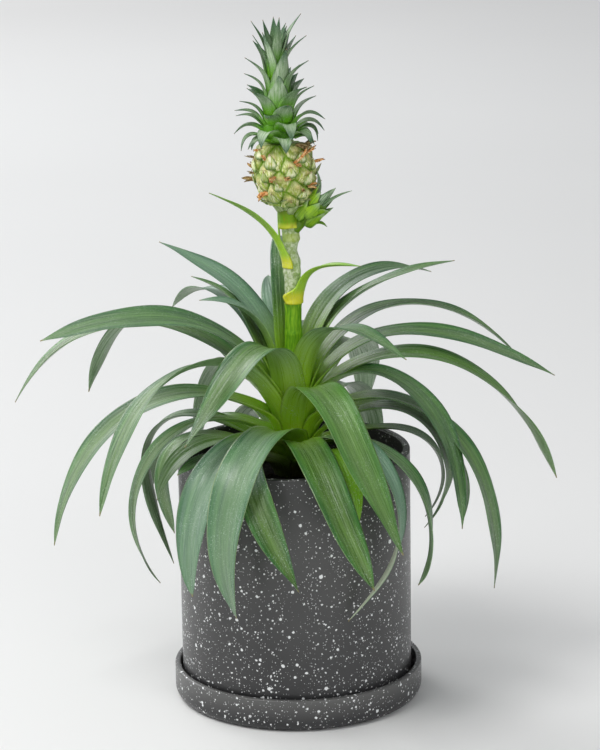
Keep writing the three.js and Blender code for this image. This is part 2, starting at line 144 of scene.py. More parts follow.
# How yellow-green and fresh a blade is, 0 for the usual green
BRIGHT_BLADES = {
    "lower_leaf_16": 1.0, "stalk_leaf_01": 0.85, "stalk_leaf_02": 0.95, "stalk_leaf_04": 0.9,
    "lower_leaf_13": 0.3, "middle_leaf_08": 0.16, "middle_leaf_07": 0.12,
}


# Small maths
def mix(a, b, share):
    return a + (b - a) * share


def smooth(low, high, x):
    share = np.clip((np.asarray(x, float) - low) / (high - low), 0, 1)
    return share * share * (3 - 2 * share)


def unit(v):
    v = np.asarray(v, float)
    return v / np.maximum(np.linalg.norm(v, axis=-1, keepdims=True), 1e-9)


def at_height(table, z):
    """Reads a table of (height, value) at one height or many."""
    return np.interp(z, [row[0] for row in table], [row[1] for row in table])


def drawn(seed, count=1):
    """A repeatable draw of numbers from 0 to 1."""
    return np.random.default_rng(seed).random(count)


def around(count):
    """Angles of evenly spaced points round a full turn."""
    return np.linspace(0, 2 * math.pi, count, endpoint=False)


def round_rings(radius, turn, z, x=0.0, y=0.0):
    """Rings of points this far from an upright axis through x and y."""
    radius, turn, z = np.broadcast_arrays(radius, turn, z)
    return np.stack([x + radius * np.cos(turn), y + radius * np.sin(turn), z], -1)


def stem_point(azimuth, reach, z):
    """The point this far from the plant's leaning axis at height z."""
    turn = math.radians(azimuth)
    return np.array([float(at_height(LEAN, z)) + reach * math.cos(turn), reach * math.sin(turn), z])


def even(rings, **numbers):
    """The same number at every point of the rings, under each name."""
    return {name: np.full(rings.shape[:2], number, float) for name, number in numbers.items()}


def plain_core(rings, *more):
    """Zero for every value that the blades round a core carry."""
    return even(rings, **dict.fromkeys(("across", "span", "reach", "share", "under", *more), 0.0))


# Meshes
def make_piece(name, points, faces, attributes, material, nodes=()):
    """Adds one smooth mesh to the scene, in millimetres, riding on the root body."""
    mesh = bpy.data.meshes.new(name)
    mesh.from_pydata((np.asarray(points, float) * MM).tolist(), [], faces)
    for key, values in attributes.items():
        layer = mesh.attributes.new(key, "FLOAT", "POINT")
        layer.data.foreach_set("value", np.asarray(values, np.float32).ravel())
    mesh.polygons.foreach_set("use_smooth", [True] * len(mesh.polygons))
    mesh.materials.append(material)
    piece = bpy.data.objects.new(name, mesh)
    bpy.context.scene.collection.objects.link(piece)
    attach(piece, "root")
    if nodes:
        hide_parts(*nodes)
    return piece


def skin_faces(rows, columns):
    """Faces of a closed tube of rows rings with columns points each, its two ends closed by fans."""
    faces = []
    for r in range(rows - 1):
        for c in range(columns):
            a = r * columns + c
            b = r * columns + (c + 1) % columns
            faces.append((a, b, b + columns, a + columns))
    foot, head = rows * columns, rows * columns + 1
    last = (rows - 1) * columns
    for c in range(columns):
        n = (c + 1) % columns
        faces.append((foot, n, c))
        faces.append((head, last + c, last + n))
    return faces


def close_rings(rings):
    """Points of the rings with the two end centres behind them."""
    flat = rings.reshape(-1, 3)
    return np.vstack([flat, rings[0].mean(0), rings[-1].mean(0)])


def close_values(values):
    """A value at each ring point, with those of the two end centres."""
    return np.concatenate([values.ravel(), [values[0].mean(), values[-1].mean()]])


class Bunch:
    """Several closed skins gathered into one mesh."""

    def __init__(self):
        self.points, self.faces, self.values, self.count = [], [], {}, 0

    def add(self, rings, values):
        points = close_rings(rings)
        faces = skin_faces(rings.shape[0], rings.shape[1])
        self.faces += [tuple(i + self.count for i in face) for face in faces]
        self.points.append(points)
        for key, each in values.items():
            self.values.setdefault(key, []).append(close_values(each))
        self.count += len(points)

    def blade(self, start, azimuth, length, width, rise, fall, options, **numbers):
        """Adds one small blade, with numbers that its material reads all over."""
        rings, values = small_blade(start, azimuth, length, width, rise, fall, options)
        self.add(rings, {**values, **even(rings, **numbers)})

    def piece(self, name, material, slot, nodes=()):
        values = {key: np.concatenate(parts) for key, parts in self.values.items()}
        return make_piece(name, np.vstack(self.points), self.faces, values, material, nodes)


# Blades: the centre line bends as the solids' does
FINE_STEPS = 240
# How far round, in radians, a clasping blade may bend to each side
MOST_BEND = 2.2


def bend_share(s, at, soft):
    def sigmoid(x):
        return 1 / (1 + np.exp(-x))

    start, end = sigmoid(-at / soft), sigmoid((1 - at) / soft)
    return (sigmoid((s - at) / soft) - start) / (end - start)


def blade_direction(shape, s):
    slope = np.radians(mix(shape["rise"], shape["fall"], bend_share(s, shape["at"], shape["soft"])))
    turn = np.radians(shape["azimuth"] + shape["sweep"] * s)
    return np.stack([np.cos(slope) * np.cos(turn), np.cos(slope) * np.sin(turn), np.sin(slope)], -1)


def centre_points(shape, shares):
    """Points of the centre line at these shares of its length."""
    edges = np.linspace(0, 1, FINE_STEPS + 1)
    steps = blade_direction(shape, (edges[:-1] + edges[1:]) / 2) * shape["length"] / FINE_STEPS
    line = np.vstack([np.zeros(3), np.cumsum(steps, 0)]) + shape["start"]
    return np.stack([np.interp(shares, edges, line[:, k]) for k in range(3)], -1)


def blade_axes(shape, shares, along):
    """Sideways and upward directions across the blade, with its roll."""
    turn = np.radians(shape["azimuth"] + shape["sweep"] * shares)
    level = np.stack([-np.sin(turn), np.cos(turn), np.zeros_like(turn)], -1)
    inner = unit(np.cross(along, level))
    mid, tip = shape["mid_roll"], shape["tip_roll"]
    roll = np.radians((4 * mid - tip) * shares + (2 * tip - 4 * mid) * shares**2)[:, None]
    side = level * np.cos(roll) + inner * np.sin(roll)
    up = inner * np.cos(roll) - level * np.sin(roll)
    return side, up


def leaf_width_share(s, power):
    """Even blade with a tapered tip."""
    start = BLADE["taper_start"]
    taper = 1 - np.clip((s - start) / (1 - start), 0, 1) ** power
    return np.maximum(0.03, taper * mix(0.88, 1, np.clip(s / 0.3, 0, 1)))


def section(across, half, curve, keel):
    """Offsets sideways and upwards of points across a blade bent to an arc with a keel, and their angle."""
    angle = np.clip(across * half * curve, -MOST_BEND, MOST_BEND)
    radius = 1 / curve
    upward = radius * (1 - np.cos(angle)) + keel * half * np.abs(across)
    return radius * np.sin(angle), upward, angle


def blade_rings(stations, top_count, bottom_count):
    """Closed rings round a blade and the values that its material reads.

    stations holds arrays: point, side, up, half, curve, keel, thick, reach, share, plus ripple, a
    function of (reach, across) that gives the height of the pleats and waves.
    """
    top = np.linspace(-1, 1, top_count)
    bottom = np.linspace(1, -1, bottom_count + 2)[1:-1]
    across = np.concatenate([top, bottom])
    under = np.concatenate([np.zeros(top_count), np.ones(bottom_count)])
    n = len(stations["half"])
    half, curve = stations["half"][:, None], stations["curve"][:, None]
    keel, thick = stations["keel"][:, None], stations["thick"][:, None]
    a = np.broadcast_to(across, (n, len(across)))
    sideways, upward, angle = section(a, half, curve, keel)
    body = thick * (1 - 0.72 * np.abs(a) ** 2.5)
    lift = np.where(under > 0.5, -0.5, 0.5) * body
    lift = lift + stations["ripple"](stations["reach"][:, None], a) * np.minimum(1, half / 5)
    side, up = stations["side"][:, None, :], stations["up"][:, None, :]
    normal = up * np.cos(angle)[..., None] - side * np.sin(angle)[..., None]
    rings = (
        stations["point"][:, None, :]
        + side * sideways[..., None]
        + up * upward[..., None]
        + normal * lift[..., None]
    )
    values = {
        "across": a * np.ones((n, 1)),
        "span": a * half,
        "reach": np.broadcast_to(stations["reach"][:, None], a.shape),
        "share": np.broadcast_to(stations["share"][:, None], a.shape),
        "under": np.broadcast_to(under, a.shape),
    }
    return rings, values


# Rosette and stalk leaves
# A sheath clasps the stem below each blade: its length, how much wider it is than the blade, and the
# most that half of it may span, in stem radii
SHEATH = {"length": 15, "wrap": 1.18, "widest": 1.35, "blend": 9, "stations": 14, "gap": 0.8}
# Bracts on the stalk have their own length and width, and may reach farther round
SHEATHS = {"stalk_leaf_01": (3.0, 1.35), "stalk_leaf_02": (3.6, 2.4), "stalk_leaf_04": (1.0, 1.2)}
BRACT_WIDEST = 2.1
LEAF_DETAIL = {"stations": 64, "top": 27, "bottom": 13, "pleats": 7, "pleat_height": 0.11}


def hermite(p0, t0, p1, t1, t):
    t = t[:, None]
    return (
        p0 * (2 * t**3 - 3 * t**2 + 1)
        + t0 * (t**3 - 2 * t**2 + t)
        + p1 * (3 * t**2 - 2 * t**3)
        + t1 * (t**3 - t**2)
    )


def leaf_shape(row):
    shape = dict(zip(LEAF_COLUMNS, row))
    reach = float(at_height(STEM, shape["base"])) + BLADE["seat"]
    shape["start"] = stem_point(shape["azimuth"], reach, shape["base"])
    return shape


def leaf_ripple(seed):
    """Pleats along the blade and slow waves of its edges, millimetres."""
    phases = drawn(seed, 4) * 2 * math.pi
    strength = 0.6 + 0.8 * drawn(seed + 1)[0]

    def ripple(reach, across):
        pleats = LEAF_DETAIL["pleat_height"] * np.cos(LEAF_DETAIL["pleats"] * math.pi * across + phases[0])
        crease = -0.28 * np.exp(-((across - 0.18 * math.sin(phases[1])) / 0.13) ** 2)
        wave = 0.55 * strength * np.sin(reach / 9.5 + phases[2] + across) * across**2
        long_wave = 0.7 * np.sin(reach / 23 + phases[3]) * across
        grown = smooth(8, 40, reach)
        return pleats * smooth(0, 25, reach) + (crease + wave + long_wave) * grown

    return ripple


def leaf_skin(row, seed):
    """The rings of one leaf: a sheath that clasps the stem and a blade that bends away from it."""
    shape = leaf_shape(row)
    length, width = shape["length"], shape["width"]
    sheath, wrap = SHEATHS.get(shape["name"], (SHEATH["length"], SHEATH["wrap"]))
    widest = BRACT_WIDEST if shape["name"] in SHEATHS else SHEATH["widest"]
    joined = SHEATH["blend"] / length
    foot_z = shape["base"] - sheath
    foot_reach = float(at_height(STEM, foot_z)) + SHEATH["gap"]
    foot = stem_point(shape["azimuth"], foot_reach, foot_z)
    meet = centre_points(shape, np.array([joined]))[0]
    meet_along = blade_direction(shape, np.array([joined]))[0]
    pull = np.linalg.norm(meet - foot)
    t = np.linspace(0, 1, SHEATH["stations"], endpoint=False)
    sheath_points = hermite(foot, UP * pull, meet, meet_along * pull, t)
    shares = joined + (1 - joined) * np.linspace(0, 1, LEAF_DETAIL["stations"]) ** 0.9
    points = np.vstack([sheath_points, centre_points(shape, shares)])
    reach = np.concatenate([mix(-sheath, SHEATH["blend"], t), shares * length])
    all_shares = np.clip(reach / length, 0, 1)
    along = unit(np.gradient(points, axis=0))
    side, up = blade_axes(shape, all_shares, along)
    clasp = 1 - smooth(-2, 0.16 * length, reach)
    taper = TAPER_POWER[shape["name"].split("_")[0]]
    half = width / 2 * leaf_width_share(all_shares, taper) * mix(1, wrap, clasp)
    half = np.minimum(half, mix(1e3, foot_reach * widest, clasp))
    cup = mix(BLADE["base_cup"], BLADE["cup"], np.clip(all_shares / 0.3, 0, 1))
    open_curve = 1.2 * cup / np.maximum(half, 0.6)
    closed_curve = 1 / (foot_reach + 0.4)
    stations = {
        "point": points,
        "side": side,
        "up": up,
        "half": half,
        "curve": mix(open_curve, closed_curve, clasp),
        "keel": 0.9 * cup * (1 - clasp),
        "thick": mix(BLADE["middle"], BLADE["edge"], all_shares**1.3) * mix(1, 0.8, clasp),
        "reach": reach,
        "share": all_shares,
        "ripple": leaf_ripple(seed),
    }
    return blade_rings(stations, LEAF_DETAIL["top"], LEAF_DETAIL["bottom"])


def build_leaves(rows, material, slot):
    for k, row in enumerate(rows):
        name = row[0]
        seed = 100 + k * 7 + len(rows)
        rings, values = leaf_skin(row, seed)
        pale, tone = drawn(seed + 3, 2)
        pale_end = PALE_ENDS.get(name, 2.0)
        fade = 1 - smooth(pale_end - 0.12, pale_end, values["share"])
        values["pale"] = PALE_BLADES.get(name, 0.25 * pale) * fade
        values.update(even(rings, bright=BRIGHT_BLADES.get(name, 0.0), tone=tone))
        bunch = Bunch()
        bunch.add(rings, values)
        bunch.piece("fine_" + name, material, slot, [name])


# Turned pieces: the pot, its saucer and the stem
TURNED_SIDES = 160


def arc(centre, radius, start, end, count=7):
    """Points of an arc in a turned outline, angles in degrees."""
    angles = np.radians(np.linspace(start, end, count))
    return [(centre[0] + radius * math.cos(a), centre[1] + radius * math.sin(a)) for a in angles]


def turned_piece(name, outline, centre, material, slot, nodes, wobble=0.0):
    """A closed outline of (radius, height, painted highlight), turned about the vertical through centre."""
    profile = np.array(outline)
    turn = around(TURNED_SIDES)
    radius = profile[:, 0:1] + wobble * np.sin(3 * turn + profile[:, 1:2] / 40) * (profile[:, 0:1] > 30)
    rings = round_rings(radius, turn, profile[:, 1:2], centre[0], centre[1])
    bunch = Bunch()
    bunch.add(rings, {"rim_highlight": np.broadcast_to(profile[:, 2:3], radius.shape)})
    return bunch.piece(name, material, slot, nodes)


def finely(points, rim_highlight, step=3.0):
    """An outline with its long stretches divided, each point with its share of painted rim highlight."""
    fine = []
    for (r0, z0), (r1, z1), w0, w1 in zip(points, points[1:], rim_highlight, rim_highlight[1:]):
        parts = max(1, round(math.hypot(r1 - r0, z1 - z0) / step))
        for share in np.arange(parts) / parts:
            fine.append((mix(r0, r1, share), mix(z0, z1, share), mix(w0, w1, share)))
    return fine + [(*points[-1], rim_highlight[-1])]


def box_mm(node):
    low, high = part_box(node)
    return np.array(low) / MM, np.array(high) / MM


def build_pot(material):
    low, high = box_mm("pot")
    centre, radius = (low + high) / 2, (high[0] - low[0]) / 2
    wall, floor, edge, foot = 4.5, 6.0, 1.1, 1.6
    base, top = low[2], high[2]
    inner = radius - wall
    outline = [(0.5, base), (radius - foot, base)]
    outline += arc((radius - foot, base + foot), foot, -90, 0)[1:]
    outline += arc((radius - edge, top - edge), edge, 0, 90)
    outline += arc((inner + edge, top - edge), edge, 90, 180)
    outline += [(inner, base + floor), (0.5, base + floor)]
    # Painted highlight: the rounded top of the rim is drawn lighter, as where it catches the light
    rim_highlight = [1.0 if z > top - edge * 1.6 else 0.0 for _, z in outline]
    turned_piece("fine_pot", finely(outline, rim_highlight), centre, material, "stoneware", ["pot"], 0.06)


def build_saucer(material):
    low, high = box_mm("saucer")
    centre, radius = (low + high) / 2, (high[0] - low[0]) / 2
    top, wall, floor, edge, foot = high[2], 3.5, 5.0, 1.0, 6.0
    bottom_radius = radius - 3.5
    inner = radius - wall
    outline = [(0.5, 0), (bottom_radius - 2, 0)]
    outline += arc((radius - foot, foot), foot, -62, 0)
    outline += arc((radius - edge, top - edge), edge, 0, 90)
    outline += arc((inner + edge, top - edge), edge, 90, 180)
    outline += arc((inner - 2, floor + 2), 2, 0, -90)
    outline += [(0.5, floor)]
    # Painted highlight: the rounded top of the rim is drawn lighter, as where it catches the light
    rim_highlight = [1.0 if z > top - edge * 1.6 else 0.0 for _, z in outline]
    turned_piece("fine_saucer", finely(outline, rim_highlight), centre, material, "stoneware", ["saucer"], 0.05)


# Stem: a rough column with swollen nodes
STEM_DETAIL = {"sides": 72, "step": 0.8}


def wrinkles(x, y, seed, octaves=3):
    """Smooth repeatable noise from a few summed waves of drawn directions."""
    rng = np.random.default_rng(seed)
    total = np.zeros(np.broadcast(x, y).shape)
    for octave in range(octaves):
        scale = 2.0**octave
        for _ in range(5):
            a, b, phase = rng.normal(), rng.normal(), rng.random() * 2 * math.pi
            total = total + np.sin(scale * (a * x + b * y) + phase) / scale
    return total / 5


# Single bumps and hollows: height, how far up and down they reach, azimuth, how far they stand out
STALK_BUMPS = [(283.5, 2.6, -12, 0.3), (275.5, 4.2, 5, -1.5), (282, 1.4, -45, 0.7), (270, 9.0, 180, 1.1)]
# The sheath under the fruit: its heights, and how far its lip and wall stand out
COLLAR = {"low": 289.0, "high": 302.5, "lip": 1.5, "wall": 0.9}


def build_stem(material):
    low, high = box_mm("stem")
    z = np.arange(low[2] + 0.1, high[2], STEM_DETAIL["step"])
    turn = around(STEM_DETAIL["sides"])
    radius = at_height(STEM, z)[:, None] + np.zeros_like(turn)
    for height, swell in STALK_NODES:
        rim = np.exp(-((z - height) / 1.6) ** 2) + 0.5 * np.exp(-((z - height + 3) / 3.5) ** 2)
        radius = radius + swell * rim[:, None] * (1 + 0.25 * np.sin(2 * turn + height))
    for height, reach, azimuth, rise in STALK_BUMPS:
        facing = np.maximum(0, np.cos(turn - math.radians(azimuth)))
        radius = radius + rise * np.exp(-((z - height) / reach) ** 2)[:, None] * facing
    rough = smooth(240, 250, z)[:, None]
    radius = radius + rough * 0.14 * wrinkles(turn * 3, z[:, None] / 2.4, 5) - 0.1
    radius = radius + 0.1 * np.cos(9 * turn) * (1 - rough)
    z = z[:, None]
    rings = round_rings(radius, turn, z, at_height(LEAN, z))
    bunch = Bunch()
    bunch.add(rings, {"height": np.broadcast_to(z, radius.shape), "collar": np.zeros(radius.shape)})
    bunch.add(*collar_rings(turn))
    bunch.piece("fine_stem", material, "stem", ["stem"])


def collar_rings(turn):
    """The sheath round the stalk just under the fruit, with its thick lower lip."""
    low, high, lip, wall = COLLAR["low"], COLLAR["high"], COLLAR["lip"], COLLAR["wall"]
    outline = [
        (low + 1.2, -1.0), (low + 0.3, 0.2), (low, lip * 0.7), (low + 0.5, lip), (low + 1.6, lip * 0.95),
        (low + 4, wall), (low + 7, wall * 0.8), (high - 3, wall), (high, wall * 1.2), (high + 0.4, -1.0),
    ]
    z = np.array([row[0] for row in outline])[:, None] + 0.5 * np.sin(turn + 2) + 0.2 * np.sin(3 * turn)
    extra = np.array([row[1] for row in outline])[:, None]
    radius = at_height(STEM, z) + extra * (1 + 0.15 * np.sin(2 * turn))
    rings = round_rings(radius, turn, z, at_height(LEAN, z))
    return rings, {"height": z - 0.5 * np.sin(turn + 2), "collar": np.ones(radius.shape)}


# Soil: a lumpy mound with bits of bark
SOIL = {
    "top": 139.0, "drop": 4.0, "rings": 70, "sides": 120, "shade": 0.3, "bits": 260, "bit_size": (0.8, 2.6),
}


def soil_height(share, x, y):
    lumps = 0.8 * wrinkles(x / 3.2, y / 3.2, 11) + 0.5 * wrinkles(x / 1.1, y / 1.1, 12, 2)
    return SOIL["top"] - SOIL["drop"] * np.clip((share - 0.45) / 0.55, 0, 1) ** 1.6 - 0.6 + lumps


def build_soil(material):
    low, high = box_mm("soil")
    centre, radius = (low + high) / 2, (high[0] - low[0]) / 2 - 0.1
    turn = around(SOIL["sides"])
    share = np.linspace(1, 0.02, SOIL["rings"])
    x = centre[0] + radius * share[:, None] * np.cos(turn)
    y = centre[1] + radius * share[:, None] * np.sin(turn)
    z = soil_height(share[:, None], x, y)
    top = np.stack([x, y, z], -1)
    skirt = np.stack([x[0], y[0], np.full_like(x[0], low[2] + 0.2)], -1)[None]
    inner = skirt.copy()
    inner[..., :2] = centre[:2] + (inner[..., :2] - centre[:2]) * 0.02
    rings = np.vstack([inner, skirt, top])
    bunch = Bunch()
    bunch.add(rings, even(rings, shade=SOIL["shade"]))
    rng = np.random.default_rng(21)
    for _ in range(SOIL["bits"]):
        place, spin = 0.24 + 0.73 * rng.random() ** 0.6, rng.random() * 2 * math.pi
        bx = centre[0] + radius * place * math.cos(spin)
        by = centre[1] + radius * place * math.sin(spin)
        bz = float(soil_height(place, np.array(bx), np.array(by)))
        size = rng.uniform(*SOIL["bit_size"]) * np.array([1, rng.uniform(0.4, 0.9), rng.uniform(0.3, 0.6)])
        turned = Matrix.Rotation(rng.random() * 6.3, 3, "Z") @ Matrix.Rotation(rng.normal() * 0.4, 3, "X")
        chip = chip_rings(size, rng) @ np.array(turned).T + np.array([bx, by, bz + 0.2])
        bunch.add(chip, even(chip, shade=rng.random()))
    bunch.piece("fine_soil", material, "soil", ["soil"])


def chip_rings(size, rng):
    """A rough little lump, as rings about its long axis."""
    sides, rows = 7, 5
    turn = around(sides)
    slope = np.linspace(-1.2, 1.2, rows)
    bumps = 1 + 0.22 * rng.normal(size=(rows, sides))
    x = np.sin(slope)[:, None] * np.ones(sides)
    y = np.cos(slope)[:, None] * np.cos(turn)
    z = np.cos(slope)[:, None] * np.sin(turn)
    return np.stack([x, y, z], -1) * bumps[..., None] * size


# Fruit: a barrel of hexagonal eyes on a golden-angle spiral
FRUIT_DETAIL = {"rows": 150, "sides": 260, "rise": 2.6, "skin": 0.16, "stray": 1.3}


def fruit_radius(share):
    return FRUIT["radius"] * np.sin(math.pi * mix(0.13, 0.85, share)) ** 0.45


def eye_places():
    k = np.arange(FRUIT["eyes"])
    return np.radians(k * GOLDEN_ANGLE) % (2 * math.pi), (k + 0.5) / FRUIT["eyes"] * FRUIT["height"]


def eye_distances(turn, z, radius):
    """How far beyond the nearest eye the next one lies, which eye is nearest, and the way from it."""
    eye_turn, eye_z = eye_places()
    apart = (turn[..., None] - eye_turn + 3 * math.pi) % (2 * math.pi) - math.pi
    sideways, upward = apart * radius[..., None], z[..., None] - eye_z
    distance = np.hypot(sideways, upward)
    order = np.argsort(distance, -1)[..., :2]
    near = np.take_along_axis(distance, order, -1)
    first = order[..., 0]
    picked = first[..., None]
    return (
        near[..., 1] - near[..., 0],
        first,
        np.take_along_axis(sideways, picked, -1)[..., 0],
        np.take_along_axis(upward, picked, -1)[..., 0],
    )


def build_fruit(material):
    share = np.linspace(0, 1, FRUIT_DETAIL["rows"])[:, None]
    turn = around(FRUIT_DETAIL["sides"])[None, :]
    share, turn = np.broadcast_arrays(share, turn)
    z = share * FRUIT["height"]
    radius = fruit_radius(share)
    stray = FRUIT_DETAIL["stray"]
    seen_turn = turn + stray * wrinkles(3 * np.cos(turn), z / 5 + 3 * np.sin(turn), 33) / radius
    seen_z = z + stray * wrinkles(3 * np.sin(turn), z / 5 + 3 * np.cos(turn), 34)
    margin, first, sideways, upward = eye_distances(seen_turn, seen_z, radius)
    own = drawn(76, FRUIT["eyes"])[first]
    pillow = smooth(0, 4.4, margin) ** 0.7
    peak = np.exp(-(((upward - 2.4) / 1.8) ** 2 + (sideways / 2.0) ** 2))
    fold = np.exp(-((upward - 1.2 + 0.25 * np.abs(sideways)) / 0.5) ** 2)
    lift = FRUIT_DETAIL["rise"] * (pillow - 0.62) * mix(0.6, 1.25, own) + 0.7 * peak - 0.35 * fold * pillow
    lift = lift + FRUIT_DETAIL["skin"] * wrinkles(turn * radius / 1.1, z / 1.1, 31)
    radius = radius + lift
    height = FRUIT["base"] + z
    rings = round_rings(radius, turn, height, at_height(LEAN, height))
    values = {
        "seam": 1 - smooth(0.2, 1.9, margin),
        "peak": peak,
        "eye": drawn(77, FRUIT["eyes"])[first],
        "sideways": sideways,
        "upward": upward,
    }
    bunch = Bunch()
    bunch.add(rings, values)
    bunch.piece("fine_fruit", material, "fruit", ["fruit"])


def surface_point(azimuth, z, extra):
    """A point this far outside the barrel."""
    share = (z - FRUIT["base"]) / FRUIT["height"]
    return stem_point(azimuth, float(fruit_radius(np.array(share))) + extra, z)


def surface_slope(z):
    """How steeply the barrel's side rises, degrees: under 90 below its middle and over 90 above."""
    step = 0.5
    share = np.clip((np.array([z - step, z + step]) - FRUIT["base"]) / FRUIT["height"], 0.0, 1.0)
    radii = fruit_radius(share)
    return math.degrees(math.atan2(2 * step, float(radii[1] - radii[0])))


# Small pointed blades for the crown, slip, bracts and dry florets
def small_blade(start, azimuth, length, width, rise, fall, options):
    """Rings of one small blade. options take the place of the usual values here."""
    chosen = {
        "at": 0.4, "soft": 0.25, "sweep": 0, "roll": 0, "thick": 0.9, "cup": 0.16, "profile": 1.6,
        "neck": 0.9, "stations": 18, "top": 9, "bottom": 5, "clasp": 0.0, "clasp_radius": 8.0,
        "ripple": 0.04, "seed": 0, **options,
    }
    shape = {
        "start": start, "azimuth": azimuth, "length": length, "rise": rise, "fall": fall,
        "at": chosen["at"], "soft": chosen["soft"], "sweep": chosen["sweep"],
        "mid_roll": chosen["roll"] / 2, "tip_roll": chosen["roll"],
    }
    shares = np.linspace(0, 1, chosen["stations"])
    points = centre_points(shape, shares)
    along = unit(np.gradient(points, axis=0))
    side, up = blade_axes(shape, shares, along)
    outline = (1 - shares ** chosen["profile"]) * mix(chosen["neck"], 1, smooth(0, 0.25, shares))
    half = np.maximum(0.12, width / 2 * outline)
    clasp = chosen["clasp"] * (1 - smooth(0, 0.5, shares))
    open_curve = 1.5 * chosen["cup"] / np.maximum(half, 0.5)
    phase = chosen["seed"] * 1.7

    def ripple(reach, across):
        return chosen["ripple"] * np.cos(9 * across + phase) + 0.15 * across * np.sin(reach / 4 + phase)

    stations = {
        "point": points, "side": side, "up": up, "half": half,
        "curve": mix(open_curve, 1 / chosen["clasp_radius"], clasp),
        "keel": 0.5 * chosen["cup"] * (1 - clasp),
        "thick": chosen["thick"] * mix(1, 0.35, shares),
        "reach": shares * length, "share": shares, "ripple": ripple,
    }
    return blade_rings(stations, chosen["top"], chosen["bottom"])


# Crown leaves that show from the front. Columns: azimuth, height on the crown, length, width, rise,
# fall, and how pale their bloom is
CROWN_LEAVES = [
    (-118, 4.5, 20, 12, 42, -84, 0.95), (-82, 1.8, 17, 12, 34, -86, 0.95),
    (-72, 8.0, 21, 12.5, 48, -80, 0.8), (-150, 2.0, 14, 9, 25, -76, 0.7),
    (205, 1.5, 14, 7, 18, -56, 0.5), (195, 3.0, 21, 7.5, 30, -80, 0.45),
    (-35, 5.0, 17, 11, 32, -66, 0.6), (-12, 3.0, 14, 7, 25, -64, 0.3), (8, 6.0, 20, 7, 36, -88, 0.3),
    (176, 6.5, 20, 8, 36, -44, 0.4), (183, 6.5, 21, 9, 40, -48, 0.3), (0, 8.0, 21, 9, 44, -54, 0.5),
    (20, 6.0, 19, 8, 40, -62, 0.4), (170, 9.0, 20, 7.5, 50, -12, 0.6),
    (-18, 11.0, 23, 9, 52, -32, 0.45), (-112, 11.5, 15, 11, 62, -12, 0.35),
    (190, 10.5, 21.5, 8.5, 58, -4, 0.55), (178, 13.0, 20, 8, 66, 10, 0.5),
    (-72, 13.0, 16, 13, 72, 26, 0.7), (10, 13.0, 20.5, 8.5, 66, 20, 0.35),
    (-140, 17.0, 20, 12.5, 74, 26, 0.6), (172, 16.0, 20, 7.5, 76, 34, 0.55),
    (-8, 17.0, 22.5, 9, 74, 26, 0.4), (-48, 19.0, 25, 12.5, 64, 20, 0.4),
    (-86, 21.0, 22, 13, 86, 96, 0.95), (188, 24.0, 23, 8, 80, 24, 0.55),
    (-15, 27.0, 27, 10.5, 82, 32, 0.5), (25, 27.0, 20.5, 8.5, 80, 44, 0.4),
    (195, 26.0, 30, 10.5, 88, 34, 0.75), (-56, 27.0, 30, 14, 88, 72, 0.95),
    (185, 36.0, 29.5, 6, 84, 58, 0.15), (215, 36.0, 30, 12.5, 88, 73, 0.95),
    (-10, 36.0, 32, 9, 84, 38, 0.4), (165, 40.0, 33.5, 6, 84, 56, 0.2), (60, 44.0, 27, 7, 86, 52, 0.4),
    (15, 42.0, 36, 10, 84, 52, 0.9), (20, 46.0, 21, 6, 86, 64, 0.3), (150, 38.0, 34, 11, 88, 76, 0.7),
    (-60, 42.0, 32, 9, 88, 84, 0.6),
]
# The leaves behind, by height on the crown
CROWN_LENGTHS = [(0, 15), (8, 21), (20, 22), (28, 27), (42, 32)]
CROWN_WIDTHS = [(0, 9), (10, 10), (25, 11), (42, 9)]
CROWN_RISES = [(0, 24), (8, 42), (14, 66), (26, 82), (42, 86)]
CROWN_FALLS = [(0, -80), (8, -54), (12, 0), (20, 28), (36, 50), (46, 66)]


def crown_rows():
    """The leaves that show from the front, then those behind on a golden-angle spiral."""
    rows = list(CROWN_LEAVES)
    for k in range(CROWN["behind"]):
        height = mix(2, 42, k / (CROWN["behind"] - 1))
        azimuth = 28 + k * GOLDEN_ANGLE % 124
        tables = (CROWN_LENGTHS, CROWN_WIDTHS, CROWN_RISES, CROWN_FALLS)
        shape = [float(at_height(table, height)) for table in tables]
        rows.append((azimuth, height, *shape, float(drawn(380 + k)[0])))
    return rows


def build_crown(material):
    """Broad clasping leaves, drooping at the foot and upright with spread tips at the top."""
    bunch = Bunch()
    base, height = CROWN["base"], CROWN["height"]
    z = np.linspace(0.2, height, 24)[:, None]
    radius = mix(CROWN["foot"], CROWN["tip"], smooth(4, height, z)) * smooth(-3, 2, z) * CROWN["core"]
    core = round_rings(radius, around(40), base + z, float(at_height(LEAN, base + height / 2)))
    bunch.add(core, plain_core(core, "tone", "bloom"))
    for k, (azimuth, foot, length, width, rise, fall, bloom) in enumerate(crown_rows()):
        wild = drawn(400 + k, 3) - 0.5
        reach = mix(CROWN["foot"], CROWN["tip"], float(smooth(4, height, foot))) * CROWN["core"]
        bunch.blade(
            stem_point(azimuth, reach, base + foot), azimuth, length, width * CROWN["broad"], rise, fall,
            {"at": 0.52, "soft": 0.15, "sweep": 16 * wild[0], "roll": 14 * wild[2], "thick": 1.1,
             "cup": 0.24, "profile": 1.65, "neck": 0.85, "stations": 26, "top": 13, "bottom": 7,
             "clasp": 0.9, "clasp_radius": reach + 2.2, "seed": k},
            tone=wild[1] + 0.5, bloom=bloom,
        )
    bunch.piece("fine_crown", material, "crown", ["crown"])


def slip_core():
    """The bud's solid middle on its neck."""
    neck, bud, radius = SLIP["neck"], SLIP["bud"], SLIP["radius"]
    z = np.linspace(-3.5, neck + bud * 0.96, 40)
    swell = np.interp(
        z,
        [-4, neck * 0.5, neck, neck + bud * 0.35, neck + bud * 0.8, neck + bud],
        [SLIP["neck_radius"], SLIP["neck_radius"], radius * 0.8, radius, radius * 0.7, 0.3],
    )
    return round_rings(swell[:, None], around(36), z[:, None])


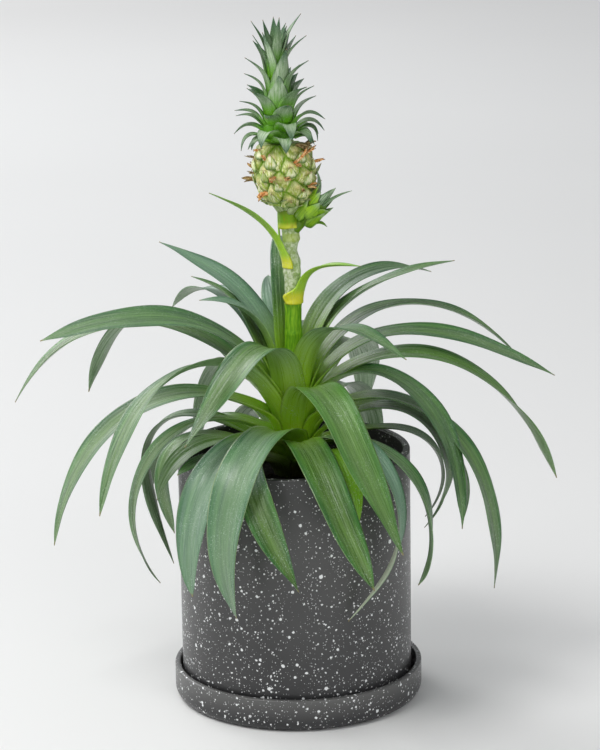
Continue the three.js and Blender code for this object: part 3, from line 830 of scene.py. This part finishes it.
# Slip scales. Columns: azimuth about the bud, height on the bud, length, width, rise, fall
SLIP_SCALES = [
    (-120, -2.0, 14, 13, 78, 96), (-20, -2.0, 14, 13, 78, 92), (70, -2.0, 13, 13, 80, 96),
    (155, -2.0, 13, 12, 80, 92), (-70, 2.0, 14, 13, 80, 98), (-165, 2.5, 14, 12, 82, 98),
    (20, 2.5, 13, 12, 78, 84), (110, 3.0, 12, 12, 84, 96), (-110, 6.5, 14, 11, 84, 102),
    (-30, 6.0, 12, 10, 74, 50), (190, 7.0, 14, 10, 82, 90), (45, 7.5, 13, 9, 84, 86),
    (4, 1.0, 8, 5, 56, 4), (-150, 9.0, 14, 8, 82, 86), (180, 12.0, 17, 8, 76, 38),
    (0, 11.0, 23, 8.5, 86, 62), (-70, 11.0, 13, 7, 86, 92), (70, 12.0, 13, 7, 88, 88),
]


def build_slip(material):
    """A plump leafy bud on a short neck beside the fruit."""
    bunch = Bunch()
    core = slip_core()
    skins = [(core, plain_core(core, "tone", "rank"))]
    for k, (azimuth, height, length, width, rise, fall) in enumerate(SLIP_SCALES):
        spin = math.radians(azimuth)
        reach = mix(SLIP["radius"] * 0.9, 1.6, np.clip(height / SLIP["bud"], 0, 1) ** 1.6)
        start = np.array([reach * math.cos(spin), reach * math.sin(spin), SLIP["neck"] + height])
        rings, values = small_blade(
            start, azimuth, length, width, rise, fall,
            {"at": 0.5, "soft": 0.2, "thick": 1.1, "cup": 0.34, "profile": 1.75, "clasp": 0.95,
             "clasp_radius": reach + 1.0, "stations": 24, "top": 15, "bottom": 7, "neck": 0.8, "seed": k},
        )
        values.update(even(rings, tone=drawn(600 + k)[0], rank=float(smooth(9, 12, height))))
        skins.append((rings, values))
    turn = Matrix.Rotation(math.radians(SLIP["azimuth"]), 3, "Z")
    tilt = turn @ Matrix.Rotation(math.radians(SLIP["tilt"]), 3, "Y")
    foot = stem_point(SLIP["azimuth"], float(at_height(STEM, SLIP["z"])), SLIP["z"])
    for rings, values in skins:
        bunch.add(rings @ np.array(tilt).T + foot, values)
    bunch.piece("fine_slip", material, "slip", ["slip"])


# Bracts under each eye and the skirt of bracts at the fruit's foot
BRACTS = {
    "below": 5.2, "length": 8.6, "width": 9.0, "skirt": 11, "skirt_foot": 297.0, "skirt_rise": 5,
}


def build_bracts(material):
    bunch = Bunch()
    for k, (turn, height) in enumerate(zip(*eye_places())):
        wild = drawn(700 + k, 6)
        z = FRUIT["base"] + max(0.2, height - BRACTS["below"])
        azimuth = math.degrees(turn)
        slope = surface_slope(z + 3.0)
        bunch.blade(
            surface_point(azimuth + 16 * (wild[4] - 0.5), z, 0.9),
            azimuth,
            BRACTS["length"] * mix(0.7, 1.2, wild[0]),
            BRACTS["width"] * mix(0.8, 1.1, wild[1]),
            slope - mix(18, 32, wild[3]),
            slope + mix(14, -30, wild[2]),
            {"thick": 0.8, "cup": 0.14, "profile": mix(1.25, 1.9, wild[3]), "at": 0.42, "soft": 0.18,
             "clasp": 0.75, "clasp_radius": 14, "sweep": 60 * (wild[4] - 0.5), "stations": 22,
             "top": 15, "bottom": 7, "ripple": 0.14, "neck": 0.75, "roll": 30 * (wild[5] - 0.5), "seed": k},
            tone=drawn(800 + k)[0], leafy=0.0,
        )
    for k in range(BRACTS["skirt"]):
        wild = drawn(820 + k, 3)
        azimuth = k * GOLDEN_ANGLE + 20
        z = BRACTS["skirt_foot"] + BRACTS["skirt_rise"] * (k / BRACTS["skirt"])
        bunch.blade(
            stem_point(azimuth, float(at_height(STEM, z)) + 0.4, z),
            azimuth,
            13 + 3 * wild[0],
            10,
            56,
            34 * wild[1],
            {"thick": 0.8, "cup": 0.22, "profile": 1.8, "clasp": 0.8, "clasp_radius": 8, "stations": 20,
             "top": 15, "bottom": 7, "ripple": 0.18, "roll": 40 * (wild[2] - 0.5), "seed": k},
            tone=wild[2], leafy=1.0,
        )
    bunch.piece("fruit_bracts", material, "fruit")


# Dry florets. Columns: azimuth and height on the fruit, heading, length, width, rise, fall, sweep,
# and how fresh the colour is. Each is a bundle of strands
STRANDS = 4
FLORETS = [
    (-65, 329.5, 8, 13, 3.2, 34, 52, 30, 1.0), (-62, 328.5, -60, 4, 2.6, 30, 20, 60, 0.6),
    (-30, 334, 20, 9, 3.4, 24, 40, 20, 0.9), (-4, 328, -8, 8, 2.4, 10, 26, 10, 1.0),
    (-130, 319, -26, 9, 3.4, 4, -14, 24, 1.0), (-118, 320, -60, 5, 2.6, 24, 10, 50, 0.5),
    (-40, 315, 12, 8, 3.2, 14, -24, 20, 0.9), (-133, 311, -196, 8, 3.2, 6, -46, 30, 1.0),
    (-150, 336, -170, 5, 2.0, 8, -6, 10, 0.9), (-177, 325, -188, 5, 2.6, 40, 66, 0, 0.6),
    (-137, 333.5, -70, 4, 2.6, -10, -50, 40, 0.8), (-178, 317.5, -184, 8, 2.6, 4, -6, 6, 0.2),
    (-88, 320.5, -50, 4, 2.6, 36, 10, 60, 0.5), (-170, 331, -186, 6, 0.8, 14, 6, 0, 0.1),
    (-172, 322, -190, 5, 0.8, 10, 2, 0, 0.1), (-55, 313.5, -100, 3, 2.4, 20, -20, 60, 0.3),
    (40, 333, 40, 9, 2.6, 20, 50, 20, 0.9), (75, 324, 100, 8, 2.6, 5, -20, -40, 0.8),
    (110, 331, 70, 9, 2.8, 12, 45, 30, 1.0), (140, 318, 150, 8, 2.6, 0, -25, 20, 0.7),
    (60, 311, 30, 9, 2.8, -10, 15, -50, 0.9), (100, 312, 130, 8, 2.6, 10, -30, 60, 0.5),
    (-20, 338, 12, 9, 3.0, 16, 10, 20, 0.1), (-45, 339, -20, 8, 3.2, 10, -24, 30, 0.1),
]


def build_florets(material):
    """Crumpled strands that lie together in small bundles."""
    bunch = Bunch()
    for k, (azimuth, z, heading, length, width, rise, fall, sweep, bright) in enumerate(FLORETS):
        start = surface_point(azimuth, min(z, FRUIT["base"] + FRUIT["height"]), 0.3)
        for strand in range(STRANDS):
            wild = drawn(900 + 10 * k + strand, 4) - 0.5
            bunch.blade(
                start + wild[:3] * 1.1,
                heading + 18 * wild[0],
                length * (1 - 0.14 * strand),
                width * mix(0.7, 1.1, wild[3] + 0.5),
                rise + 20 * wild[1],
                fall + 40 * wild[2],
                {"thick": 0.6, "cup": 0.6, "profile": 5, "sweep": sweep + 40 * wild[2],
                 "roll": 220 * wild[0], "ripple": 0.3, "seed": k + strand},
                tone=wild[1] + 0.5, bright=bright,
            )
    bunch.piece("dry_florets", material, "fruit")


# Shader building
class Shader:
    """A Principled material with short calls for the nodes used here."""

    def __init__(self, name, roughness, specular=0.5):
        self.material = bpy.data.materials.new(name)
        self.material.use_nodes = True
        self.nodes = self.material.node_tree.nodes
        self.links = self.material.node_tree.links
        self.surface = self.nodes["Principled BSDF"]
        self.surface.inputs["Roughness"].default_value = roughness
        self.surface.inputs["Specular IOR Level"].default_value = specular

    def attribute(self, name):
        node = self.nodes.new("ShaderNodeAttribute")
        node.attribute_name = name
        return node.outputs["Fac"]

    def read(self, *names):
        """The values that the mesh carries under these names."""
        return [self.attribute(name) for name in names]

    def place(self):
        return self.nodes.new("ShaderNodeTexCoord").outputs["Object"]

    def put(self, socket, value):
        if isinstance(value, bpy.types.NodeSocket):
            self.links.new(value, socket)
        elif isinstance(value, tuple):
            socket.default_value = value if len(socket.default_value) == len(value) else (*value, 1.0)
        else:
            socket.default_value = value

    def maths(self, operation, a, b=0.0):
        node = self.nodes.new("ShaderNodeMath")
        node.operation = operation
        self.put(node.inputs[0], a)
        self.put(node.inputs[1], b)
        return node.outputs[0]

    def times(self, a, b):
        return self.maths("MULTIPLY", a, b)

    def plus(self, a, b):
        return self.maths("ADD", a, b)

    def ramp(self, value, low, high, out_low=0.0, out_high=1.0):
        """A smooth step from low to high."""
        node = self.nodes.new("ShaderNodeMapRange")
        node.interpolation_type = "SMOOTHSTEP"
        self.put(node.inputs["Value"], value)
        ends = {"From Min": low, "From Max": high, "To Min": out_low, "To Max": out_high}
        for key, number in ends.items():
            node.inputs[key].default_value = number
        return node.outputs["Result"]

    def mixed(self, share, a, b):
        node = self.nodes.new("ShaderNodeMix")
        node.data_type = "RGBA"
        self.put(node.inputs["Factor"], share)
        self.put(node.inputs[6], a)
        self.put(node.inputs[7], b)
        return node.outputs[2]

    def height(self, place):
        """The upright part of a place, in metres."""
        node = self.nodes.new("ShaderNodeSeparateXYZ")
        self.put(node.inputs[0], place)
        return node.outputs[2]

    def vector(self, x, y, z):
        node = self.nodes.new("ShaderNodeCombineXYZ")
        for socket, value in zip(node.inputs, (x, y, z)):
            self.put(socket, value)
        return node.outputs[0]

    def noise(self, vector, scale, detail=2.0, rough=0.5):
        node = self.nodes.new("ShaderNodeTexNoise")
        self.put(node.inputs["Vector"], vector)
        node.inputs["Scale"].default_value = scale
        node.inputs["Detail"].default_value = detail
        node.inputs["Roughness"].default_value = rough
        return node.outputs["Fac"]

    def streaks(self, across, along, own, detail, rough=0.6):
        """Noise drawn out along a blade. Each of the first three is a value and its scale."""
        place = self.vector(*[self.times(value, scale) for value, scale in (across, along, own)])
        return self.noise(place, 1.0, detail, rough)

    def moved(self, vector, scale, distance):
        """The same place, strayed by noise up to this distance in metres."""
        noise = self.nodes.new("ShaderNodeTexNoise")
        self.put(noise.inputs["Vector"], vector)
        noise.inputs["Scale"].default_value = scale
        add = self.nodes.new("ShaderNodeVectorMath")
        add.operation = "MULTIPLY_ADD"
        self.links.new(noise.outputs["Color"], add.inputs[0])
        add.inputs[1].default_value = (distance, distance, distance)
        self.put(add.inputs[2], vector)
        return add.outputs[0]

    def spots(self, vector, scale):
        """Distance to the nearest cell point, and two draws of that cell's own."""
        node = self.nodes.new("ShaderNodeTexVoronoi")
        self.put(node.inputs["Vector"], vector)
        node.inputs["Scale"].default_value = scale
        channels = self.nodes.new("ShaderNodeSeparateColor")
        self.links.new(node.outputs["Color"], channels.inputs[0])
        return node.outputs["Distance"], channels.outputs[0], channels.outputs[1]

    def bump(self, height, distance, strength=1.0):
        node = self.nodes.new("ShaderNodeBump")
        node.inputs["Strength"].default_value = strength
        node.inputs["Distance"].default_value = distance
        self.put(node.inputs["Height"], height)
        self.links.new(node.outputs[0], self.surface.inputs["Normal"])

    def colour(self, socket):
        self.put(self.surface.inputs["Base Color"], socket)

    def roughness(self, socket):
        self.put(self.surface.inputs["Roughness"], socket)


def rgb(red, green, blue):
    """A colour as read on screen, from 0 to 255, in the scene's linear values."""
    parts = [v / 255 for v in (red, green, blue)]
    return tuple(((v + 0.055) / 1.055) ** 2.4 if v > 0.04 else v / 12.92 for v in parts)


def leaf_material():
    s = Shader("leaf_blade", 0.42, 0.7)
    s.surface.inputs["Coat Weight"].default_value = 0.15
    s.surface.inputs["Coat Roughness"].default_value = 0.32
    span, reach, across, under = s.read("span", "reach", "across", "under")
    tone, pale, bright = s.read("tone", "pale", "bright")
    streak = s.streaks((span, 1.5), (reach, 0.03), (tone, 40), 4, 0.62)
    band = s.streaks((span, 0.25), (reach, 0.022), (tone, 17), 2, 0.5)
    from_edge = s.maths("ABSOLUTE", across)
    green = s.mixed(s.ramp(band, 0.3, 0.7), rgb(28, 78, 8), rgb(90, 142, 42))
    middle = s.mixed(s.ramp(tone, 0.2, 0.8), rgb(92, 124, 74), rgb(114, 124, 74))
    green = s.mixed(s.times(s.ramp(from_edge, 0.9, 0.2), 0.5), green, middle)
    green = s.mixed(s.ramp(streak, 0.5, 0.74, 0.0, 0.45), green, rgb(168, 196, 138))
    green = s.mixed(s.ramp(streak, 0.48, 0.34, 0.0, 0.6), green, rgb(24, 62, 12))
    green = s.mixed(s.times(tone, 0.3), green, rgb(56, 116, 24))
    # Pale blue-grey: the blade's own bloom, and painted sheen on blades that face the light
    green = s.mixed(s.times(pale, 0.6), green, rgb(132, 168, 152))
    margin = s.times(s.ramp(from_edge, 0.6, 0.95), 0.5)
    green = s.mixed(margin, green, rgb(28, 96, 46))
    green = s.mixed(bright, green, rgb(120, 178, 14))
    # A thin pale line on the blade's edges: its own pale margin, brightened as a painted highlight
    edge = s.ramp(from_edge, 0.94, 0.995)
    green = s.mixed(s.times(edge, s.ramp(tone, 0.3, 0.8, 0.1, 0.5)), green, rgb(180, 206, 130))
    back = s.mixed(s.ramp(streak, 0.35, 0.7), rgb(88, 124, 74), rgb(150, 178, 138))
    back = s.mixed(s.times(bright, 0.85), back, rgb(126, 172, 30))
    green = s.mixed(under, green, back)
    green = s.mixed(s.times(under, s.ramp(pale, 0.85, 0.95)), green, rgb(206, 216, 190))
    young = s.times(s.ramp(reach, 56, 2), s.ramp(band, 0.1, 0.6, 0.7, 1.0))
    green = s.mixed(young, green, rgb(168, 214, 38))
    yellow = s.times(s.ramp(reach, 7, 0), bright)
    green = s.mixed(yellow, green, rgb(236, 232, 40))
    place = s.place()
    # Darker near the soil by the stem: dry old leaf bases, painted darker still as the shade under the
    # rosette
    low = s.times(s.ramp(s.height(place), 0.158, 0.144), s.ramp(reach, 20, 6))
    green = s.mixed(s.times(low, 0.9), green, rgb(40, 42, 16))
    dust = s.noise(place, 1300, 3, 0.75)
    patch = s.noise(place, 60, 2, 0.5)
    bloom = s.times(s.ramp(dust, 0.56, 0.68, 0.0, 0.7), s.ramp(patch, 0.35, 0.65, 0.15, 1.0))
    green = s.mixed(bloom, green, rgb(200, 218, 204))
    tip = s.ramp(s.attribute("share"), 0.98, 1.0)
    s.colour(s.mixed(tip, green, rgb(150, 134, 84)))
    s.roughness(s.ramp(streak, 0.3, 0.8, 0.26, 0.4))
    s.bump(s.plus(streak, s.times(dust, 0.25)), 0.0004, 0.9)
    return s.material


def crown_material():
    s = Shader("crown_leaf", 0.5, 0.4)
    share, tone, bloom, span, reach = s.read("share", "tone", "bloom", "span", "reach")
    streak = s.streaks((span, 1.8), (reach, 0.16), (tone, 30), 3)
    dark = s.mixed(s.ramp(streak, 0.3, 0.7), rgb(26, 72, 12), rgb(68, 116, 42))
    light = s.mixed(s.ramp(streak, 0.3, 0.7), rgb(126, 160, 108), rgb(190, 208, 178))
    green = s.mixed(bloom, dark, light)
    green = s.mixed(s.ramp(share, 0.55, 0.92, 0.0, 0.85), green, rgb(34, 84, 50))
    edge = s.ramp(s.maths("ABSOLUTE", s.attribute("across")), 0.75, 1.0)
    green = s.mixed(s.times(edge, 0.6), green, rgb(50, 94, 38))
    young = s.times(s.ramp(share, 0.5, 0.1), s.ramp(tone, 0.0, 1.0, 0.7, 1.0))
    green = s.mixed(young, green, rgb(110, 180, 10))
    scurf = s.noise(s.place(), 1500, 2, 0.65)
    green = s.mixed(s.ramp(scurf, 0.52, 0.7, 0.0, 0.3), green, rgb(200, 212, 194))
    s.colour(s.mixed(s.ramp(share, 0.955, 1.0), green, rgb(128, 100, 62)))
    s.bump(s.plus(streak, scurf), 0.0002, 0.6)
    return s.material


def slip_material():
    s = Shader("slip_leaf", 0.42, 0.5)
    share, tone, rank, span, reach = s.read("share", "tone", "rank", "span", "reach")
    streak = s.streaks((span, 1.4), (reach, 0.12), (tone, 30), 3)
    green = s.mixed(s.ramp(streak, 0.3, 0.7), rgb(102, 156, 4), rgb(162, 200, 38))
    green = s.mixed(s.times(tone, 0.4), green, rgb(84, 130, 20))
    # Darker feet of the scales: their own deeper green, deepened as painted shade where they tuck under one
    # another
    green = s.mixed(s.ramp(share, 0.3, 0.0, 0.0, 0.7), green, rgb(64, 104, 4))
    green = s.mixed(s.ramp(share, 0.6, 0.98, 0.0, 0.9), green, rgb(150, 176, 132))
    grey = s.mixed(s.ramp(streak, 0.35, 0.65), rgb(76, 118, 74), rgb(172, 192, 160))
    green = s.mixed(s.ramp(rank, 0.4, 0.8), green, grey)
    # Darker edges of the scales: their own margins, deepened as painted shade in the seams between them
    edge = s.ramp(s.maths("ABSOLUTE", s.attribute("across")), 0.7, 1.0)
    green = s.mixed(s.times(edge, 0.75), green, rgb(50, 90, 10))
    s.colour(green)
    s.bump(streak, 0.0002, 0.5)
    return s.material


def stem_material():
    s = Shader("stalk_skin", 0.6, 0.35)
    height = s.attribute("height")
    place = s.place()
    rough = s.noise(place, 520, 4, 0.6)
    fibre = s.nodes.new("ShaderNodeMapping")
    s.links.new(place, fibre.inputs["Vector"])
    fibre.inputs["Scale"].default_value = (1.0, 1.0, 0.12)
    grain = s.noise(fibre.outputs[0], 900, 3, 0.6)
    grey = s.mixed(s.ramp(rough, 0.35, 0.65), rgb(150, 172, 108), rgb(214, 222, 194))
    grey = s.mixed(s.ramp(grain, 0.6, 0.72, 0.0, 0.6), grey, rgb(92, 112, 44))
    grey = s.mixed(s.ramp(rough, 0.66, 0.74, 0.0, 0.5), grey, rgb(120, 96, 60))
    green = s.mixed(s.ramp(grain, 0.3, 0.7), rgb(80, 146, 4), rgb(144, 194, 36))
    colour = s.mixed(s.ramp(height, 242.5, 246), green, grey)
    bud = s.maths("ABSOLUTE", s.maths("SUBTRACT", height, 283.5))
    colour = s.mixed(s.ramp(bud, 4.0, 1.5, 0.0, 0.6), colour, rgb(166, 186, 60))
    colour = s.mixed(s.ramp(height, 206, 190), colour, rgb(150, 176, 60))
    # The stem's own dark brown base below the rosette, painted darker still as the shade under the leaves
    bark_and_shade = s.mixed(s.ramp(rough, 0.35, 0.65), rgb(20, 18, 12), rgb(58, 58, 28))
    colour = s.mixed(s.ramp(height, 172, 156), colour, bark_and_shade)
    sleeve = s.mixed(s.ramp(height, 290.0, 293.5), rgb(204, 212, 64), rgb(122, 168, 8))
    sleeve = s.mixed(s.ramp(height, 296, 301), sleeve, rgb(96, 120, 34))
    sleeve = s.mixed(s.ramp(grain, 0.55, 0.7, 0.0, 0.5), sleeve, rgb(170, 130, 40))
    s.colour(s.mixed(s.attribute("collar"), colour, sleeve))
    s.bump(s.plus(rough, s.times(grain, 0.6)), 0.0005, 0.7)
    return s.material


def fruit_material():
    s = Shader("fruit_skin", 0.5, 0.4)
    seam, peak, eye = s.read("seam", "peak", "eye")
    upward, sideways = s.read("upward", "sideways")
    place = s.place()
    mottle = s.noise(place, 420, 4, 0.6)
    veins = s.streaks((sideways, 1.1), (upward, 0.3), (eye, 50), 3)
    cloud = s.noise(place, 150, 2, 0.5)
    cream = s.mixed(s.ramp(veins, 0.38, 0.62), rgb(167, 189, 66), rgb(250, 250, 201))
    cream = s.mixed(s.ramp(cloud, 0.44, 0.64, 0.0, 0.6), cream, rgb(142, 161, 61))
    cream = s.mixed(s.times(eye, 0.35), cream, rgb(165, 170, 74))
    cream = s.mixed(s.ramp(upward, 1.0, 5.0, 0.0, 0.45), cream, rgb(122, 158, 40))
    cream = s.mixed(s.times(peak, 0.6), cream, rgb(231, 208, 148))
    cream = s.mixed(s.ramp(mottle, 0.6, 0.74, 0.0, 0.5), cream, rgb(148, 117, 64))
    s.colour(s.mixed(s.times(seam, 0.85), cream, rgb(124, 172, 8)))
    s.bump(s.plus(mottle, s.times(veins, 0.5)), 0.0006, 0.9)
    return s.material


def bract_material():
    s = Shader("fruit_bract", 0.5, 0.4)
    share, tone, across, span, reach = s.read("share", "tone", "across", "span", "reach")
    streak = s.streaks((span, 1.3), (reach, 0.2), (tone, 20), 3)
    mottle = s.noise(s.place(), 380, 3, 0.6)
    body = s.mixed(s.ramp(streak, 0.34, 0.62), rgb(170, 191, 74), rgb(250, 250, 214))
    body = s.mixed(s.ramp(tone, 0.5, 0.95, 0.0, 0.8), body, rgb(134, 151, 69))
    body = s.mixed(s.ramp(mottle, 0.56, 0.68, 0.0, 0.6), body, rgb(200, 181, 105))
    edge = s.ramp(s.maths("ABSOLUTE", across), 0.55, 0.95)
    body = s.mixed(s.times(edge, 0.8), body, rgb(103, 147, 10))
    foot = s.ramp(share, 0.34, 0.02)
    body = s.mixed(s.times(foot, 0.9), body, rgb(80, 120, 8))
    body = s.mixed(s.ramp(share, 0.7, 0.98, 0.0, 0.9), body, rgb(141, 111, 69))
    leafy = s.mixed(s.ramp(streak, 0.3, 0.7), rgb(109, 136, 69), rgb(195, 208, 158))
    leafy = s.mixed(s.ramp(share, 0.7, 1.0), leafy, rgb(158, 155, 109))
    s.colour(s.mixed(s.attribute("leafy"), body, leafy))
    s.bump(s.plus(streak, mottle), 0.0004, 0.8)
    return s.material


def floret_material():
    s = Shader("dry_floret", 0.7, 0.25)
    crumple = s.noise(s.place(), 800, 4, 0.65)
    tan = s.mixed(s.ramp(crumple, 0.38, 0.6), rgb(206, 120, 40), rgb(252, 214, 156))
    tan = s.mixed(s.times(s.attribute("tone"), 0.4), tan, rgb(226, 154, 78))
    dull = s.mixed(s.ramp(crumple, 0.36, 0.64), rgb(92, 82, 46), rgb(168, 154, 104))
    tan = s.mixed(s.attribute("bright"), dull, tan)
    s.colour(s.mixed(s.ramp(s.attribute("share"), 0.8, 1.0, 0.0, 0.85), tan, rgb(98, 60, 34)))
    s.bump(crumple, 0.0006, 1.0)
    return s.material


def soil_material():
    s = Shader("potting_soil", 0.95, 0.15)
    grain = s.noise(s.place(), 700, 5, 0.7)
    dark = s.mixed(s.ramp(grain, 0.35, 0.7), rgb(14, 11, 9), rgb(42, 33, 27))
    s.colour(s.mixed(s.ramp(s.attribute("shade"), 0.7, 1.0, 0.0, 0.6), dark, rgb(78, 60, 46)))
    s.bump(grain, 0.0012, 1.0)
    return s.material


# Chips in the clay. Columns: cells a metre, share of cells kept, radius in cells, brightness
CHIP_SIZES = [
    (120, 0.46, 0.14, 1.0), (230, 0.8, 0.18, 1.0), (400, 0.85, 0.22, 0.95), (760, 0.6, 0.24, 0.6),
]


def stoneware_material():
    """Charcoal clay with pale chips of many sizes showing at its surface."""
    s = Shader("speckled_stoneware", 0.4, 0.5)
    place = s.place()
    cloud = s.noise(place, 14, 3, 0.5)
    clay = s.mixed(s.ramp(cloud, 0.3, 0.7), rgb(38, 38, 40), rgb(53, 53, 54))
    fine = s.noise(place, 2600, 2, 0.6)
    clay = s.mixed(s.ramp(fine, 0.55, 0.8, 0.0, 0.25), clay, rgb(84, 84, 84))
    # Painted highlight: lighter clay on the rounded rims
    clay = s.mixed(s.times(s.attribute("rim_highlight"), 0.5), clay, rgb(120, 120, 118))
    low = s.ramp(s.height(place), 0.14, 0.06, 0.0, 0.16)
    # Painted shade: the clay turns darker towards the top of the pot, where the leaves shade it
    clay = s.mixed(s.ramp(s.height(place), 0.1, 0.15, 0.0, 0.55), clay, rgb(26, 26, 27))
    crowd = s.plus(s.ramp(s.noise(place, 38, 2, 0.5), 0.3, 0.66, 0.56, 0.96), low)
    ragged = s.moved(place, 900, 0.0011)
    colour = clay
    chips = 0.0
    for scale, share_kept, size, brightness in CHIP_SIZES:
        distance, pick, draw = s.spots(ragged, scale)
        kept = s.ramp(s.times(pick, crowd), 1 - share_kept - 0.02, 1 - share_kept + 0.02)
        radius = s.times(s.plus(draw, 0.3), size)
        inside = s.maths("SUBTRACT", radius, distance)
        chip = s.times(s.ramp(inside, 0.0, 0.03), kept)
        colour = s.mixed(s.times(chip, brightness), colour, rgb(240, 242, 242))
        chips = s.maths("MAXIMUM", chips, chip)
    s.colour(colour)
    s.roughness(s.ramp(fine, 0.3, 0.8, 0.3, 0.42))
    s.bump(s.plus(s.times(fine, 0.3), s.times(chips, 0.25)), 0.0002, 0.5)
    return s.material


# Stage: a pale floor, an even sky and soft lamps from the left
def build_floor():
    s = Shader("pale_floor", 0.6, 0.25)
    cloud = s.noise(s.place(), 1.3, 2, 0.5)
    s.colour(s.mixed(cloud, rgb(232, 232, 231), rgb(238, 238, 237)))
    reach = 14.0
    mesh = bpy.data.meshes.new("floor")
    corners = [(-reach, -reach, 0), (reach, -reach, 0), (reach, reach, 0), (-reach, reach, 0)]
    mesh.from_pydata(corners, [], [(0, 1, 2, 3)])
    mesh.materials.append(s.material)
    floor = bpy.data.objects.new("floor", mesh)
    bpy.context.scene.collection.objects.link(floor)


# Even light from all round: its colour, 0 to 255, and its strength
SKY = {"colour": (240, 242, 246), "strength": 0.36}


def build_world():
    world = bpy.data.worlds.new("studio")
    world.use_nodes = True
    shade = world.node_tree.nodes["Background"]
    shade.inputs["Color"].default_value = (*rgb(*SKY["colour"]), 1)
    shade.inputs["Strength"].default_value = SKY["strength"]
    bpy.context.scene.world = world


def add_lamp(name, place, target, size, power, colour):
    lamp = bpy.data.lights.new(name, "AREA")
    lamp.shape = "RECTANGLE"
    lamp.size, lamp.size_y = size
    lamp.energy = power
    lamp.color = colour
    holder = bpy.data.objects.new(name, lamp)
    holder.location = place
    holder.rotation_euler = (Vector(target) - Vector(place)).to_track_quat("-Z", "Y").to_euler()
    bpy.context.scene.collection.objects.link(holder)


# Soft lamps. Columns: name, place, what it is aimed at, width and height, watts, colour
LAMPS = [
    ("window", (-0.9, -0.8, 2.1), (0, 0, 0.22), (1.0, 1.0), 29, (1.0, 0.998, 0.99)),
    ("side_panel", (-1.6, 0.5, 0.55), (0, 0, 0.1), (0.8, 1.0), 7, (1.0, 1.0, 1.0)),
    ("sky_panel", (-1.1, 2.3, 1.45), (0, 0, 0.25), (2.2, 1.2), 9, (0.95, 0.98, 1.0)),
    ("front_fill", (0.9, -2.0, 1.0), (0, 0, 0.22), (1.6, 1.2), 12, (1.0, 1.0, 1.0)),
    ("backdrop", (-2.6, 3.6, 2.6), (0.2, 4.0, 0), (3.0, 3.0), 112, (1.0, 1.0, 1.0)),
]


def build_camera():
    """The photograph's viewpoint, from its fitted place, tilt and focal length."""
    pitch, yaw, roll = CAMERA["pitch"], CAMERA["yaw"], CAMERA["roll"]
    forward = Vector((math.sin(yaw) * math.cos(pitch), math.cos(yaw) * math.cos(pitch), -math.sin(pitch)))
    right = Vector((math.cos(yaw), -math.sin(yaw), 0))
    above = right.cross(forward)
    side = right * math.cos(roll) + above * math.sin(roll)
    top = above * math.cos(roll) - right * math.sin(roll)
    camera = bpy.data.objects.new("camera", bpy.data.cameras.new("camera"))
    camera.data.lens = CAMERA["lens"]
    camera.data.sensor_width = 36.0
    camera.data.clip_start, camera.data.clip_end = 0.05, 100
    turned = Matrix((side, top, -forward)).transposed().to_4x4()
    camera.matrix_world = Matrix.Translation((0, CAMERA["y"], CAMERA["z"])) @ turned
    bpy.context.scene.collection.objects.link(camera)
    bpy.context.scene.camera = camera


build_camera()
build_world()
for lamp_row in LAMPS:
    add_lamp(*lamp_row)
build_floor()

stoneware = stoneware_material()
build_pot(stoneware)
build_saucer(stoneware)
build_soil(soil_material())
build_stem(stem_material())
leaf = leaf_material()
build_leaves(LEAF_ROWS, leaf, "leaf")
build_leaves(STALK_LEAF_ROWS, leaf, "stalk_leaf")
build_fruit(fruit_material())
build_bracts(bract_material())
build_florets(floret_material())
build_crown(crown_material())
build_slip(slip_material())

bpy.context.scene.view_settings.view_transform = "Standard"
